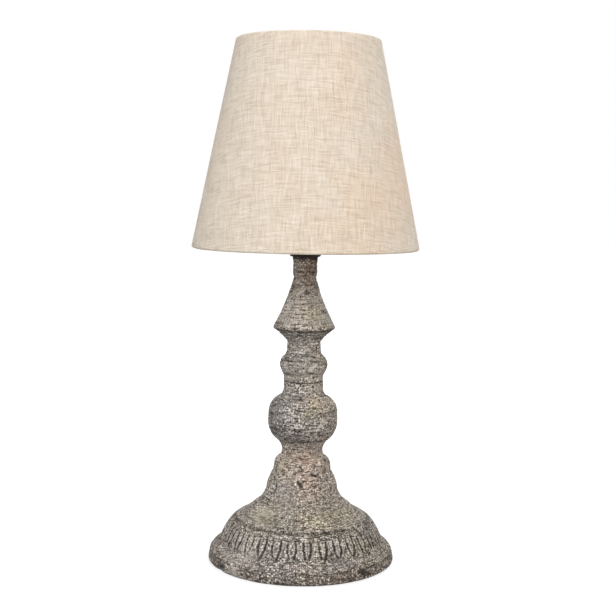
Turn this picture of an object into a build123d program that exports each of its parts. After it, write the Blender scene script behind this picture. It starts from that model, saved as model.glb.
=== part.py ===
from build123d import *
import math
import os

# A table lamp on a turned candlestick base, in millimetres.
# The origin is on the floor under the stem, +Z is up, and the cord inlet is at the back, +Y.
# Outlines are turned about Z. A stop in one is a radius, a height, and the swell of the
# stretch that leads to it: above zero it swells outwards, below zero it is hollow.

# Fits shared by all pieces
thread_clearance = 0.05
running_clearance = 0.1
spigot_clearance = 0.15
bore_clearance = 0.15
overrun = 6.0

# Felt and base plate
felt_thickness = 1.2
felt_lift = 0.5
plate_thickness = 2.0
plate_inset = 4.5
plate_clearance = 0.2

# Foot casting
casting_wall = 3.2
rim_radius = 87.3
rim_height = 12.0
rim_edge_round = 2.7
rim_lean = 2.9
rim_top_round = 2.2
rim_wall = 6.8
rim_groove_width = 1.3
rim_groove_depth = 1.0
rim_shoulder_height = 6.6
band_ledge = 10.4
band_inset = 12.4
band_height = 19.6
band_swell = 1.1
band_groove_width = 2.0
band_groove_depth = 1.6
shoulder_step = 2.9
shoulder_top_radius = 45.2
shoulder_height = 11.6
throat_radius = 33.6
throat_height = 14.0
throat_swell = -1.4
bell_top_radius = 26.7
bell_height = 18.3
bell_swell = 1.2
collar_step = 0.2
collar_lean = 1.0
collar_height = 8.4
collar_round_height = 5.4
neck_joint_radius = 20.3
neck_joint_height = 10.4
neck_swell = -1.2
foot_web = 14.0

# Ball casting
ball_flare_radius = 22.8
ball_flare_height = 4.0
ball_radius = 32.5
ball_low_height = 17.0
ball_low_swell = 2.4
ball_waist_height = 13.0
ball_waist_swell = 0.35
ball_high_radius = 31.9
ball_high_height = 12.0
ball_high_swell = 2.0
ball_cap_radius = 21.9
ball_cap_height = 6.0
ball_cap_swell = -0.6
spool_radius = 18.5
ball_top_height = 8.0
ball_web = 8.0

# Spool casting, with the bead ring
seam_chamfer = 0.6
spool_low_height = 5.0
bead_low_radius = 20.2
bead_low_height = 3.6
bead_top_radius = 21.5
bead_height = 11.6
bead_swell = 1.45
bead_groove_depth = 1.3
bead_groove_width = 1.2
cove_radius = 15.9
cove_height = 6.6
cove_swell = -0.6
spool_top_radius = 15.6
spool_top_height = 9.0
spool_web = 6.0

# Roof casting
roof_radius = 28.9
roof_flare_height = 13.0
roof_flare_swell = -1.3
roof_rim_height = 1.3
roof_rim_lean = 0.5
roof_cone_height = 45.7
roof_cone_swell = -1.35
roof_top_radius = 10.2
roof_web = 10.0

# Neck collar under the lampholder
neck_bead_radius = 11.3
neck_bead_height = 4.6
neck_bead_swell = 0.3
neck_waist_radius = 11.1
neck_waist_height = 7.4
neck_top_radius = 12.1
neck_top_height = 7.0
neck_top_swell = -0.25

# Spigots that centre each casting on the one below it
spigot_height = 2.0
spigot_wall = 4.0
neck_spigot_wall = 2.6

# Tongues cut in the foot's sloping band
tongue_count = 32
tongue_first_angle = -96.3
tongue_width = 7.6
tongue_line_width = 1.3
tongue_depth = 0.9
tongue_top_gap = 2.4
tongue_straight_share = 0.55
tongue_tip_gap = 0.8

# Threaded tube with its nuts and washers
tube_radius = 5.0
tube_bore_radius = 4.0
tube_below_nut = 4.3
tube_short_of_boss = 0.3
bush_wall = 0.6
bush_length = 8.0
bush_flange_thickness = 1.4
bush_flange_lip = 0.8
bottom_nut_flats = 17.0
bottom_nut_height = 5.0
washer_radius = 13.0
washer_thickness = 1.5
lock_washer_radius = 9.2
lock_washer_thickness = 1.2
lock_washer_slit = 1.6
top_nut_flats = 14.0
top_nut_height = 4.0
top_nut_clearance = 0.4

# Cord inlet at the back of the rim
inlet_gap = 0.3
inlet_bore_radius = 2.6
inlet_sleeve_wall = 0.7
inlet_flange_lip = 0.6
inlet_flange_thickness = 1.6
inlet_land = 3.0
inlet_face_inset = 1.6
inlet_clearance = 0.2

# Lampholder, sized outwards from the bulb's thread
holder_cap_floor = 3.0
holder_wall = 1.7
holder_edge_round = 0.8
boss_wall = 2.6
boss_height = 6.5
terminal_room = 1.3
grub_radius = 1.5
grub_length = 3.4
grub_slot = 0.5
flange_lip = 2.35
flange_thickness = 2.6
skirt_length = 8.0
skirt_wall = 1.55
holder_thread_inset = 0.35
holder_thread_length = 26.4
holder_thread_pitch = 2.2
holder_thread_depth = 0.5
socket_play = 0.35
socket_chamfer = 0.7
insert_rim = 0.85
insert_clearance = 0.15
insert_height = 11.8
contact_width = 4.0
contact_thickness = 0.5
centre_contact_inset = 1.1
centre_contact_rise = 1.9
centre_contact_past = 1.5
side_contact_rise = 10.5
side_contact_gap = 0.1
contact_slot_clearance = 0.1
contact_tab = 3.2
terminal_radius = 1.0
terminal_length = 5.8
terminal_head_radius = 2.2
terminal_head_height = 1.5
terminal_slot = 0.6
terminal_gap = 0.4

# Shade ring nut
ring_nut_wall = 5.5
ring_nut_height = 6.5
ring_nut_gap = 0.1
ring_nut_grip_count = 24
ring_nut_grip_radius = 1.1
ring_nut_flange = 1.4

# Shade
shade_bottom_radius = 105.0
shade_top_radius = 66.4
shade_height = 190.5
fitter_inset = 17.6
wire_radius = 1.2
cover_thickness = 0.7
cover_wire_clearance = 0.05
liner_thickness = 0.45
hem_length = 8.0
fitter_play = 0.6
fitter_width = 5.7
fitter_thickness = 1.2
fitter_gap = 0.05
arm_count = 3
arm_first_angle = 90.0
arm_gap = 1.2
arm_level_length = 13.0
arm_bend_radius = 9.0
arm_notch_clearance = 0.25

# Bulb, a candle shape on a small screw cap
bulb_contact_gap = 0.1
bulb_contact_radius = 4.0
bulb_contact_height = 1.3
bulb_insulator_inset = 0.4
bulb_insulator_height = 2.6
bulb_thread_radius = 6.9
bulb_thread_pitch = 2.82
bulb_thread_depth = 0.5
bulb_thread_turns = 6
bulb_cap_wall = 0.35
bulb_collar_height = 3.6
bulb_flare = 1.4
bulb_flare_height = 2.8
bulb_glass_wall = 0.8
bulb_glass_clearance = 0.1
bulb_radius = 17.5
bulb_belly_height = 30.0
bulb_belly_swell = 3.2
bulb_taper_radius = 9.0
bulb_taper_height = 28.0
bulb_taper_swell = 2.2
bulb_tip_radius = 1.6
bulb_tip_height = 13.5
bulb_tip_swell = -0.6
stem_foot_height = 1.0
stem_radius = 1.5
stem_height = 40.0
stem_cone_radius = 5.0
stem_cone_height = 7.0
filament_count = 4
filament_radius = 0.85
filament_length = 27.0
filament_place = 4.6
filament_low = 10.0
lead_radius = 0.25
lead_hub_radius = 1.9
lead_hub_height = 0.8

# Radii that follow from the sizes above
plate_radius = rim_radius - plate_inset
band_low_radius = rim_radius - band_ledge
band_top_radius = band_low_radius - band_inset
shoulder_low_radius = band_top_radius - shoulder_step
collar_radius = bell_top_radius + collar_step
inlet_sleeve_radius = inlet_bore_radius + inlet_sleeve_wall
inlet_flange_radius = inlet_sleeve_radius + inlet_flange_lip
bush_flange_radius = tube_radius + bush_flange_lip
boss_radius = tube_radius + boss_wall
socket_radius = bulb_thread_radius + socket_play
side_contact_x = bulb_thread_radius + side_contact_gap
terminal_place = side_contact_x + contact_thickness + terminal_gap + terminal_radius
insert_radius = terminal_place + terminal_radius + insert_rim
insert_bore_radius = insert_radius + insert_clearance
skirt_radius = insert_bore_radius + skirt_wall
cap_inner_radius = skirt_radius + running_clearance
holder_radius = cap_inner_radius + holder_wall
flange_radius = holder_radius + flange_lip
holder_thread_radius = holder_radius - holder_thread_inset
ring_nut_bore_radius = holder_thread_radius + running_clearance
ring_nut_radius = ring_nut_bore_radius + ring_nut_wall
fitter_inner_radius = holder_thread_radius + fitter_play
fitter_outer_radius = fitter_inner_radius + fitter_width
arm_inner_radius = flange_radius + arm_gap
bulb_flare_radius = bulb_thread_radius + bulb_flare

# Heights that follow from the sizes above
plate_bottom_z = felt_thickness
plate_top_z = plate_bottom_z + plate_thickness
inlet_height = plate_top_z + inlet_gap + inlet_flange_radius
rim_bottom_z = felt_lift
rim_top_z = rim_bottom_z + rim_height
band_low_z = rim_top_z + rim_groove_width + rim_shoulder_height
band_top_z = band_low_z + band_height
shoulder_low_z = band_top_z + band_groove_width
shoulder_top_z = shoulder_low_z + shoulder_height
throat_z = shoulder_top_z + throat_height
bell_top_z = throat_z + bell_height
collar_top_z = bell_top_z + collar_height
neck_low_z = collar_top_z + collar_round_height
foot_top_z = neck_low_z + neck_joint_height
foot_web_z = foot_top_z - foot_web
ball_top_z = (foot_top_z + ball_flare_height + ball_low_height + ball_waist_height
              + ball_high_height + ball_cap_height + ball_top_height)
bead_low_z = ball_top_z + spool_low_height + bead_low_height
bead_top_z = bead_low_z + bead_height
spool_top_z = bead_top_z + bead_groove_width + cove_height + spool_top_height
roof_rim_z = spool_top_z + roof_flare_height
roof_top_z = roof_rim_z + roof_rim_height + roof_cone_height
neck_top_z = roof_top_z + neck_bead_height + neck_waist_height + neck_top_height
boss_top_z = neck_top_z + holder_cap_floor + boss_height
insert_bottom_z = boss_top_z + terminal_room + terminal_head_height + contact_thickness
flange_top_z = insert_bottom_z + insert_height
cap_top_z = flange_top_z - flange_thickness
holder_top_z = flange_top_z + holder_thread_length
fitter_z = flange_top_z + fitter_gap
shade_bottom_z = fitter_z - fitter_inset

bore_radius = tube_radius + bore_clearance
thread_bore_radius = tube_radius + thread_clearance


def stretch(start, stop):
    """One line or arc of a turned outline, from a stop to the next one."""
    (radius, height, _), (next_radius, next_height, swell) = start, stop
    if swell == 0:
        Line((radius, height), (next_radius, next_height))
        return
    rise = next_height - height
    reach = next_radius - radius
    length = math.hypot(rise, reach)
    middle = ((radius + next_radius) / 2 + swell * rise / length,
              (height + next_height) / 2 - swell * reach / length)
    ThreePointArc((radius, height), middle, (next_radius, next_height))


def turned(stops, mode=Mode.ADD):
    """Turns the area between the axis and an outline that runs upwards."""
    low = stops[0][1]
    top = stops[-1][1]
    with BuildSketch(Plane.XZ) as section:
        with BuildLine() as outline:
            Line((0, low), (stops[0][0], low))
            for start, stop in zip(stops, stops[1:]):
                stretch(start, stop)
            Line((stops[-1][0], top), (0, top))
            Line((0, top), (0, low))
        make_face(outline.edges())
    revolve(section.sketch, axis=Axis.Z, mode=mode)


def ring(inner_radius, outer_radius, low, height, mode=Mode.ADD):
    """A plain ring or disc about Z, from low upwards."""
    with BuildSketch(Plane.XY.offset(low)) as section:
        Circle(outer_radius)
        if inner_radius > 0:
            Circle(inner_radius, mode=Mode.SUBTRACT)
    extrude(section.sketch, amount=height, mode=mode)


def drilled(radius, low, top):
    """A hole along Z that runs past both faces."""
    ring(0, radius, low - overrun, top - low + 2 * overrun, mode=Mode.SUBTRACT)


def finish(piece, name):
    """Names a finished piece and writes it."""
    piece.part.label = name
    export_step(piece.part, f"parts/{name}.step")


os.makedirs("parts", exist_ok=True)

# Base castings. Each is a shell that is open below and closed above by a web,
# and a spigot on its top centres the next one.
band_stops = [
    (band_low_radius, band_low_z, 0),
    (band_top_radius, band_top_z, band_swell),
]
foot_stops = [
    (rim_radius - rim_edge_round, rim_bottom_z, 0),
    (rim_radius, rim_bottom_z + rim_edge_round, rim_edge_round * (1 - math.sqrt(1 / 2))),
    (rim_radius - rim_lean / 2, rim_top_z - rim_top_round, 0),
    (rim_radius - rim_lean, rim_top_z, rim_top_round / 6),
    (rim_radius - rim_lean - rim_groove_depth, rim_top_z + rim_groove_width / 2, 0),
    (rim_radius - rim_lean - rim_groove_depth / 2, rim_top_z + rim_groove_width, 0),
    (band_low_radius, band_low_z, rim_shoulder_height / 12),
    band_stops[1],
    (band_top_radius - band_groove_depth, band_top_z + band_groove_width / 4, 0),
    (shoulder_low_radius, shoulder_low_z, -band_groove_width / 6),
    (shoulder_top_radius, shoulder_top_z, 0),
    (throat_radius, throat_z, throat_swell),
    (bell_top_radius, bell_top_z, bell_swell),
    (collar_radius, bell_top_z + collar_height / 6, 0),
    (collar_radius - collar_lean, collar_top_z, 0),
    (neck_joint_radius, neck_low_z, collar_round_height / 8),
    (neck_joint_radius, foot_top_z, neck_swell),
]
foot_cavity = [
    (rim_radius - rim_wall, plate_top_z, 0),
    (rim_radius - rim_wall, rim_top_z - casting_wall / 2, 0),
    (band_low_radius - casting_wall, band_low_z, 0),
    (band_top_radius - casting_wall, band_top_z - casting_wall, band_swell),
    (shoulder_top_radius - casting_wall / 2, shoulder_top_z - casting_wall, 0),
    (throat_radius - casting_wall, throat_z - casting_wall / 2, throat_swell),
    (bell_top_radius - casting_wall, bell_top_z, bell_swell),
    (collar_radius - 2 * casting_wall, foot_web_z, 0),
]
foot_spigot_radius = neck_joint_radius - spigot_wall
inlet_face_y = rim_radius - inlet_face_inset
inlet_inner_y = inlet_face_y - inlet_land

# The tongues are pointed outlines, cut to an even depth by meeting a thin skin of the band.
band_middle_z = (band_low_z + band_top_z) / 2
band_middle_radius = (band_low_radius + band_top_radius) / 2
band_slope = math.hypot(band_height, band_inset)
band_lean = math.degrees(math.atan2(band_inset, band_height))
tongue_top = band_slope / 2 - tongue_top_gap
tongue_low = -band_slope / 2 + tongue_tip_gap
tongue_bend = tongue_top - (tongue_top - tongue_low) * tongue_straight_share
tongue_half = tongue_width / 2
tongue_face = Plane.YZ.offset(band_middle_radius).rotated((0, -band_lean, 0))
tongue_face.origin = (band_middle_radius, 0, band_middle_z)

with BuildPart() as tongue_line:
    turned([(radius + tongue_depth, height, swell) for radius, height, swell in band_stops])
    turned([(radius - tongue_depth, height, swell) for radius, height, swell in band_stops],
           mode=Mode.SUBTRACT)
    with BuildSketch(tongue_face):
        with BuildLine() as tongue:
            Polyline((-tongue_half, tongue_top), (-tongue_half, tongue_bend), (0, tongue_low),
                     (tongue_half, tongue_bend), (tongue_half, tongue_top), close=True)
        make_face(tongue.edges())
        offset(amount=-tongue_line_width, kind=Kind.INTERSECTION, mode=Mode.SUBTRACT)
        with Locations((0, tongue_top)):
            Rectangle(tongue_width - 2 * tongue_line_width, 2 * tongue_line_width,
                      mode=Mode.SUBTRACT)
    extrude(amount=casting_wall, both=True, mode=Mode.INTERSECT)

with BuildPart() as tongue_lines:
    with PolarLocations(0, tongue_count, start_angle=tongue_first_angle):
        add(tongue_line.part)

with BuildPart() as foot_casting:
    turned(foot_stops)
    ring(0, foot_spigot_radius, foot_top_z, spigot_height)
    turned(foot_cavity, mode=Mode.SUBTRACT)
    ring(0, plate_radius + plate_clearance, rim_bottom_z - overrun,
         plate_top_z - rim_bottom_z + overrun, mode=Mode.SUBTRACT)
    drilled(bore_radius, foot_web_z, foot_top_z)
    with BuildSketch(Plane.XZ.offset(-inlet_inner_y + overrun)) as inlet_hole:
        with Locations((0, inlet_height)):
            Circle(inlet_sleeve_radius + inlet_clearance)
    extrude(inlet_hole.sketch, amount=-inlet_land - 2 * overrun, mode=Mode.SUBTRACT)
    with BuildSketch(Plane.XZ.offset(-inlet_face_y)) as inlet_outer_seat:
        with Locations((0, inlet_height)):
            Circle(inlet_flange_radius + inlet_clearance)
    extrude(inlet_outer_seat.sketch, amount=-overrun, mode=Mode.SUBTRACT)
    with BuildSketch(Plane.XZ.offset(-inlet_inner_y)) as inlet_inner_seat:
        with Locations((0, inlet_height)):
            Circle(inlet_flange_radius + inlet_clearance)
    extrude(inlet_inner_seat.sketch, amount=overrun, mode=Mode.SUBTRACT)
    add(tongue_lines.part, mode=Mode.SUBTRACT)
finish(foot_casting, "foot_casting")

ball_base_z = foot_top_z
ball_middle_z = ball_base_z + ball_flare_height + ball_low_height
ball_stops = [
    (neck_joint_radius, ball_base_z, 0),
    (ball_flare_radius, ball_base_z + ball_flare_height, 0),
    (ball_radius, ball_middle_z, ball_low_swell),
    (ball_high_radius, ball_middle_z + ball_waist_height, ball_waist_swell),
    (ball_cap_radius, ball_middle_z + ball_waist_height + ball_high_height, ball_high_swell),
    (spool_radius, ball_top_z - ball_top_height, ball_cap_swell),
    (spool_radius, ball_top_z - seam_chamfer, 0),
    (spool_radius - seam_chamfer, ball_top_z, 0),
]
ball_socket_radius = foot_spigot_radius + spigot_clearance
ball_cavity = [
    (ball_socket_radius, ball_base_z, 0),
    (ball_socket_radius, ball_base_z + spigot_height + casting_wall / 2, 0),
    (ball_radius - casting_wall, ball_middle_z, ball_low_swell),
    (ball_high_radius - casting_wall, ball_middle_z + ball_waist_height, ball_waist_swell),
    (ball_cap_radius - casting_wall,
     ball_top_z - ball_top_height - ball_cap_height - casting_wall / 2, ball_high_swell),
    (spool_radius - casting_wall, ball_top_z - ball_web, 0),
]
ball_spigot_radius = spool_radius - spigot_wall
with BuildPart() as ball_casting:
    turned(ball_stops)
    ring(0, ball_spigot_radius, ball_top_z, spigot_height)
    turned(ball_cavity, mode=Mode.SUBTRACT)
    drilled(bore_radius, ball_base_z, ball_top_z)
finish(ball_casting, "ball_casting")

cove_low_z = bead_top_z + bead_groove_width
spool_stops = [
    (spool_radius - seam_chamfer, ball_top_z, 0),
    (spool_radius, ball_top_z + seam_chamfer, 0),
    (spool_radius, ball_top_z + spool_low_height, 0),
    (bead_low_radius, bead_low_z, 0),
    (bead_top_radius, bead_top_z, bead_swell),
    (bead_top_radius - bead_groove_depth, bead_top_z + bead_groove_width / 2, 0),
    (bead_top_radius - bead_groove_depth / 2, cove_low_z, 0),
    (cove_radius, cove_low_z + cove_height, cove_swell),
    (spool_top_radius, spool_top_z, 0),
]
spool_socket_radius = ball_spigot_radius + spigot_clearance
spool_cavity = [
    (spool_socket_radius, ball_top_z, 0),
    (spool_socket_radius, ball_top_z + spool_low_height, 0),
    (bead_low_radius - casting_wall, bead_low_z, 0),
    (bead_top_radius - casting_wall, bead_top_z - casting_wall / 2, bead_swell / 2),
    (cove_radius - casting_wall, cove_low_z + cove_height, cove_swell),
    (spool_top_radius - casting_wall, spool_top_z - spool_web, 0),
]
spool_spigot_radius = spool_top_radius - casting_wall
with BuildPart() as spool_casting:
    turned(spool_stops)
    ring(0, spool_spigot_radius, spool_top_z, spigot_height)
    turned(spool_cavity, mode=Mode.SUBTRACT)
    drilled(bore_radius, ball_top_z, spool_top_z)
finish(spool_casting, "spool_casting")

roof_stops = [
    (spool_top_radius, spool_top_z, 0),
    (roof_radius - roof_rim_lean, roof_rim_z, roof_flare_swell),
    (roof_radius, roof_rim_z + roof_rim_height, 0),
    (roof_top_radius, roof_top_z, roof_cone_swell),
]
roof_socket_radius = spool_spigot_radius + spigot_clearance
roof_inner_radius = (roof_top_radius - casting_wall
                     + (roof_radius - roof_top_radius) * roof_web / roof_cone_height)
roof_cavity = [
    (roof_socket_radius, spool_top_z, 0),
    (roof_socket_radius, spool_top_z + spigot_height, 0),
    (roof_radius - casting_wall * 4 / 3, roof_rim_z, roof_flare_swell),
    (roof_inner_radius, roof_top_z - roof_web, roof_cone_swell),
]
roof_spigot_radius = roof_top_radius - neck_spigot_wall
with BuildPart() as roof_casting:
    turned(roof_stops)
    ring(0, roof_spigot_radius, roof_top_z, spigot_height)
    turned(roof_cavity, mode=Mode.SUBTRACT)
    drilled(bore_radius, spool_top_z, roof_top_z)
finish(roof_casting, "roof_casting")

neck_stops = [
    (roof_top_radius, roof_top_z, 0),
    (neck_bead_radius, roof_top_z + neck_bead_height, neck_bead_swell),
    (neck_waist_radius, roof_top_z + neck_bead_height + neck_waist_height, 0),
    (neck_top_radius, neck_top_z, neck_top_swell),
]
top_nut_corner = top_nut_flats / math.sqrt(3)
nut_seat_z = neck_top_z - top_nut_height - top_nut_clearance
with BuildPart() as neck_collar:
    turned(neck_stops)
    ring(0, roof_spigot_radius + spigot_clearance, roof_top_z - overrun,
         spigot_height + spigot_clearance + overrun, mode=Mode.SUBTRACT)
    drilled(bore_radius, roof_top_z, neck_top_z)
    ring(0, top_nut_corner + top_nut_clearance, nut_seat_z, neck_top_z - nut_seat_z + overrun,
         mode=Mode.SUBTRACT)
finish(neck_collar, "neck_collar")

# Base plate, felt and cord inlet
with BuildPart() as base_plate:
    ring(0, plate_radius, plate_bottom_z, plate_thickness)
finish(base_plate, "base_plate")

with BuildPart() as felt_pad:
    ring(0, plate_radius, 0, felt_thickness)
finish(felt_pad, "felt_pad")

with BuildPart() as cable_grommet:
    with BuildSketch(Plane.XZ.offset(-inlet_face_y - inlet_flange_thickness)) as outer_flange:
        with Locations((0, inlet_height)):
            Circle(inlet_flange_radius)
    extrude(outer_flange.sketch, amount=inlet_flange_thickness)
    with BuildSketch(Plane.XZ.offset(-inlet_face_y)) as sleeve:
        with Locations((0, inlet_height)):
            Circle(inlet_sleeve_radius)
    extrude(sleeve.sketch, amount=inlet_land)
    with BuildSketch(Plane.XZ.offset(-inlet_inner_y)) as inner_flange:
        with Locations((0, inlet_height)):
            Circle(inlet_flange_radius)
    extrude(inner_flange.sketch, amount=inlet_flange_thickness)
    with BuildSketch(Plane.XZ.offset(-inlet_face_y - inlet_flange_thickness)) as cord_bore:
        with Locations((0, inlet_height)):
            Circle(inlet_bore_radius)
    extrude(cord_bore.sketch, amount=inlet_land + 2 * inlet_flange_thickness,
            mode=Mode.SUBTRACT)
finish(cable_grommet, "cable_grommet")

# Threaded tube that clamps the stack, from the nut under the foot's web to the lampholder
washer_z = foot_web_z - washer_thickness
lock_washer_z = washer_z - lock_washer_thickness
bottom_nut_z = lock_washer_z - bottom_nut_height
tube_bottom_z = bottom_nut_z - tube_below_nut
tube_top_z = boss_top_z - tube_short_of_boss

with BuildPart() as threaded_tube:
    ring(tube_bore_radius, tube_radius, tube_bottom_z, tube_top_z - tube_bottom_z)
finish(threaded_tube, "threaded_tube")

with BuildPart() as tube_bush:
    ring(0, bush_flange_radius, tube_bottom_z - bush_flange_thickness, bush_flange_thickness)
    ring(0, tube_bore_radius - thread_clearance, tube_bottom_z, bush_length)
    drilled(tube_bore_radius - thread_clearance - bush_wall, tube_bottom_z,
            tube_bottom_z + bush_length)
finish(tube_bush, "tube_bush")

with BuildPart() as bottom_washer:
    ring(bore_radius, washer_radius, washer_z, washer_thickness)
finish(bottom_washer, "bottom_washer")

with BuildPart() as lock_washer:
    ring(bore_radius, lock_washer_radius, lock_washer_z, lock_washer_thickness)
    with BuildSketch(Plane.XY.offset(lock_washer_z)) as slit:
        with Locations((lock_washer_radius, 0)):
            Rectangle(2 * (lock_washer_radius - bore_radius) + lock_washer_slit,
                      lock_washer_slit)
    extrude(slit.sketch, amount=lock_washer_thickness, mode=Mode.SUBTRACT)
finish(lock_washer, "lock_washer")


def hex_nut(flats, low, height):
    """A hexagon nut about Z with a plain bore for the tube's thread."""
    with BuildSketch(Plane.XY.offset(low)) as section:
        RegularPolygon(flats / 2, side_count=6, major_radius=False)
        Circle(thread_bore_radius, mode=Mode.SUBTRACT)
    extrude(section.sketch, amount=height)


with BuildPart() as bottom_nut:
    hex_nut(bottom_nut_flats, bottom_nut_z, bottom_nut_height)
finish(bottom_nut, "bottom_nut")

with BuildPart() as top_nut:
    hex_nut(top_nut_flats, nut_seat_z, top_nut_height)
finish(top_nut, "top_nut")

# Lampholder. Its cap screws on the tube, and its shell carries the shade's ring nut.
grub_z = boss_top_z - boss_height / 2
with BuildPart() as holder_cap:
    ring(0, holder_radius, neck_top_z, cap_top_z - neck_top_z)
    fillet(holder_cap.faces().sort_by(Axis.Z)[0].edges(), holder_edge_round)
    ring(boss_radius, cap_inner_radius, neck_top_z + holder_cap_floor, boss_height,
         mode=Mode.SUBTRACT)
    ring(0, cap_inner_radius, boss_top_z, cap_top_z - boss_top_z + overrun,
         mode=Mode.SUBTRACT)
    drilled(thread_bore_radius, neck_top_z, boss_top_z)
    with BuildSketch(Plane.YZ) as grub_hole:
        with Locations((0, grub_z)):
            Circle(grub_radius)
    extrude(grub_hole.sketch, amount=(boss_radius + cap_inner_radius) / 2, mode=Mode.SUBTRACT)
finish(holder_cap, "holder_cap")

with BuildPart() as holder_grub_screw:
    with BuildSketch(Plane.YZ.offset(thread_bore_radius)) as grub_body:
        with Locations((0, grub_z)):
            Circle(grub_radius - thread_clearance)
    extrude(grub_body.sketch, amount=grub_length)
    with BuildSketch(Plane.YZ.offset(thread_bore_radius + grub_length)) as grub_cut:
        with Locations((0, grub_z)):
            Rectangle(2 * grub_radius, grub_slot)
    extrude(grub_cut.sketch, amount=-2 * grub_slot, mode=Mode.SUBTRACT)
finish(holder_grub_screw, "holder_grub_screw")

skirt_bottom_z = cap_top_z - skirt_length
thread_root_radius = holder_thread_radius - holder_thread_depth
thread_turns = round(holder_thread_length / holder_thread_pitch)
thread_stops = [(thread_root_radius, flange_top_z, 0)]
for turn in range(thread_turns):
    turn_z = flange_top_z + turn * holder_thread_pitch
    thread_stops.append((holder_thread_radius, turn_z + holder_thread_pitch / 3, 0))
    thread_stops.append((holder_thread_radius, turn_z + holder_thread_pitch * 2 / 3, 0))
    thread_stops.append((thread_root_radius, turn_z + holder_thread_pitch, 0))
thread_stops[-1] = (thread_root_radius, holder_top_z, 0)
side_contact_top_z = flange_top_z + side_contact_rise
with BuildPart() as holder_shell:
    ring(0, skirt_radius, skirt_bottom_z, skirt_length)
    ring(0, flange_radius, cap_top_z, flange_thickness)
    turned(thread_stops)
    ring(0, insert_bore_radius, skirt_bottom_z - overrun,
         flange_top_z - skirt_bottom_z + overrun, mode=Mode.SUBTRACT)
    drilled(socket_radius, flange_top_z, holder_top_z)
    turned([(socket_radius, holder_top_z - socket_chamfer, 0),
            (socket_radius + socket_chamfer, holder_top_z, 0)], mode=Mode.SUBTRACT)
    with BuildSketch(Plane.XY.offset(flange_top_z)) as contact_recess:
        with Locations((-side_contact_x, 0)):
            Rectangle(2 * (contact_thickness + contact_slot_clearance),
                      contact_width + 2 * contact_slot_clearance)
    extrude(contact_recess.sketch, amount=side_contact_rise + contact_slot_clearance,
            mode=Mode.SUBTRACT)
finish(holder_shell, "holder_shell")

# Each contact is a bent strip: a tab under the insert, a leg through it and an end above it.
tab_bottom_z = insert_bottom_z - contact_thickness
centre_contact_reach = bulb_thread_radius - centre_contact_inset
centre_leg_x = centre_contact_reach - contact_thickness
tab_end = terminal_place + contact_tab / 2
strip_half = contact_width / 2
with BuildPart() as holder_insert:
    ring(0, insert_radius, insert_bottom_z, insert_height)
    for leg_x in (centre_leg_x + contact_thickness / 2, -side_contact_x - contact_thickness / 2):
        with BuildSketch(Plane.XY.offset(insert_bottom_z)) as leg_slot:
            with Locations((leg_x, 0)):
                Rectangle(contact_thickness + 2 * contact_slot_clearance,
                          contact_width + 2 * contact_slot_clearance)
        extrude(leg_slot.sketch, amount=insert_height, mode=Mode.SUBTRACT)
    with BuildSketch(Plane.XY.offset(insert_bottom_z)) as screw_holes:
        with Locations((terminal_place, 0), (-terminal_place, 0)):
            Circle(terminal_radius + thread_clearance)
    extrude(screw_holes.sketch, amount=terminal_length, mode=Mode.SUBTRACT)
finish(holder_insert, "holder_insert")


def strip(points):
    """A bent metal strip about the XZ plane, from the closed outline of its edge."""
    with BuildSketch(Plane.XZ) as section:
        with BuildLine() as edge:
            Polyline(*points, close=True)
        make_face(edge.edges())
    extrude(section.sketch, amount=strip_half, both=True)


def tab_hole(place):
    """The hole in a contact's tab that its terminal screw passes through."""
    with BuildSketch(Plane.XY.offset(tab_bottom_z)) as hole:
        with Locations((place, 0)):
            Circle(terminal_radius + contact_slot_clearance)
    extrude(hole.sketch, amount=contact_thickness, mode=Mode.SUBTRACT)


contact_tip_z = flange_top_z + contact_thickness + centre_contact_rise
with BuildPart() as centre_contact:
    strip([
        (centre_leg_x, tab_bottom_z),
        (tab_end, tab_bottom_z),
        (tab_end, insert_bottom_z),
        (centre_contact_reach, insert_bottom_z),
        (centre_contact_reach, flange_top_z + contact_thickness),
        (-centre_contact_past, contact_tip_z),
        (-centre_contact_past, contact_tip_z - contact_thickness),
        (centre_leg_x, flange_top_z),
    ])
    tab_hole(terminal_place)
finish(centre_contact, "centre_contact")

with BuildPart() as side_contact:
    strip([
        (-side_contact_x, tab_bottom_z),
        (-side_contact_x, side_contact_top_z),
        (-side_contact_x - contact_thickness, side_contact_top_z),
        (-side_contact_x - contact_thickness, insert_bottom_z),
        (-tab_end, insert_bottom_z),
        (-tab_end, tab_bottom_z),
    ])
    tab_hole(-terminal_place)
finish(side_contact, "side_contact")

with BuildPart() as terminal_screws:
    with Locations((terminal_place, 0, tab_bottom_z - terminal_head_height),
                   (-terminal_place, 0, tab_bottom_z - terminal_head_height)):
        Cylinder(terminal_head_radius, terminal_head_height,
                 align=(Align.CENTER, Align.CENTER, Align.MIN))
        Box(2 * terminal_head_radius, terminal_slot, terminal_slot,
            align=(Align.CENTER, Align.CENTER, Align.MIN), mode=Mode.SUBTRACT)
    with Locations((terminal_place, 0, tab_bottom_z), (-terminal_place, 0, tab_bottom_z)):
        Cylinder(terminal_radius, terminal_length,
                 align=(Align.CENTER, Align.CENTER, Align.MIN))
finish(terminal_screws, "terminal_screws")

# Shade ring nut on the lampholder's outer thread
ring_nut_z = fitter_z + fitter_thickness + ring_nut_gap
with BuildPart() as shade_ring_nut:
    ring(ring_nut_bore_radius, ring_nut_radius, ring_nut_z, ring_nut_height)
    with BuildSketch(Plane.XY.offset(ring_nut_z + ring_nut_flange)) as grips:
        with PolarLocations(ring_nut_radius, ring_nut_grip_count):
            Circle(ring_nut_grip_radius)
    extrude(grips.sketch, amount=ring_nut_height - ring_nut_flange, mode=Mode.SUBTRACT)
finish(shade_ring_nut, "shade_ring_nut")

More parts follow.
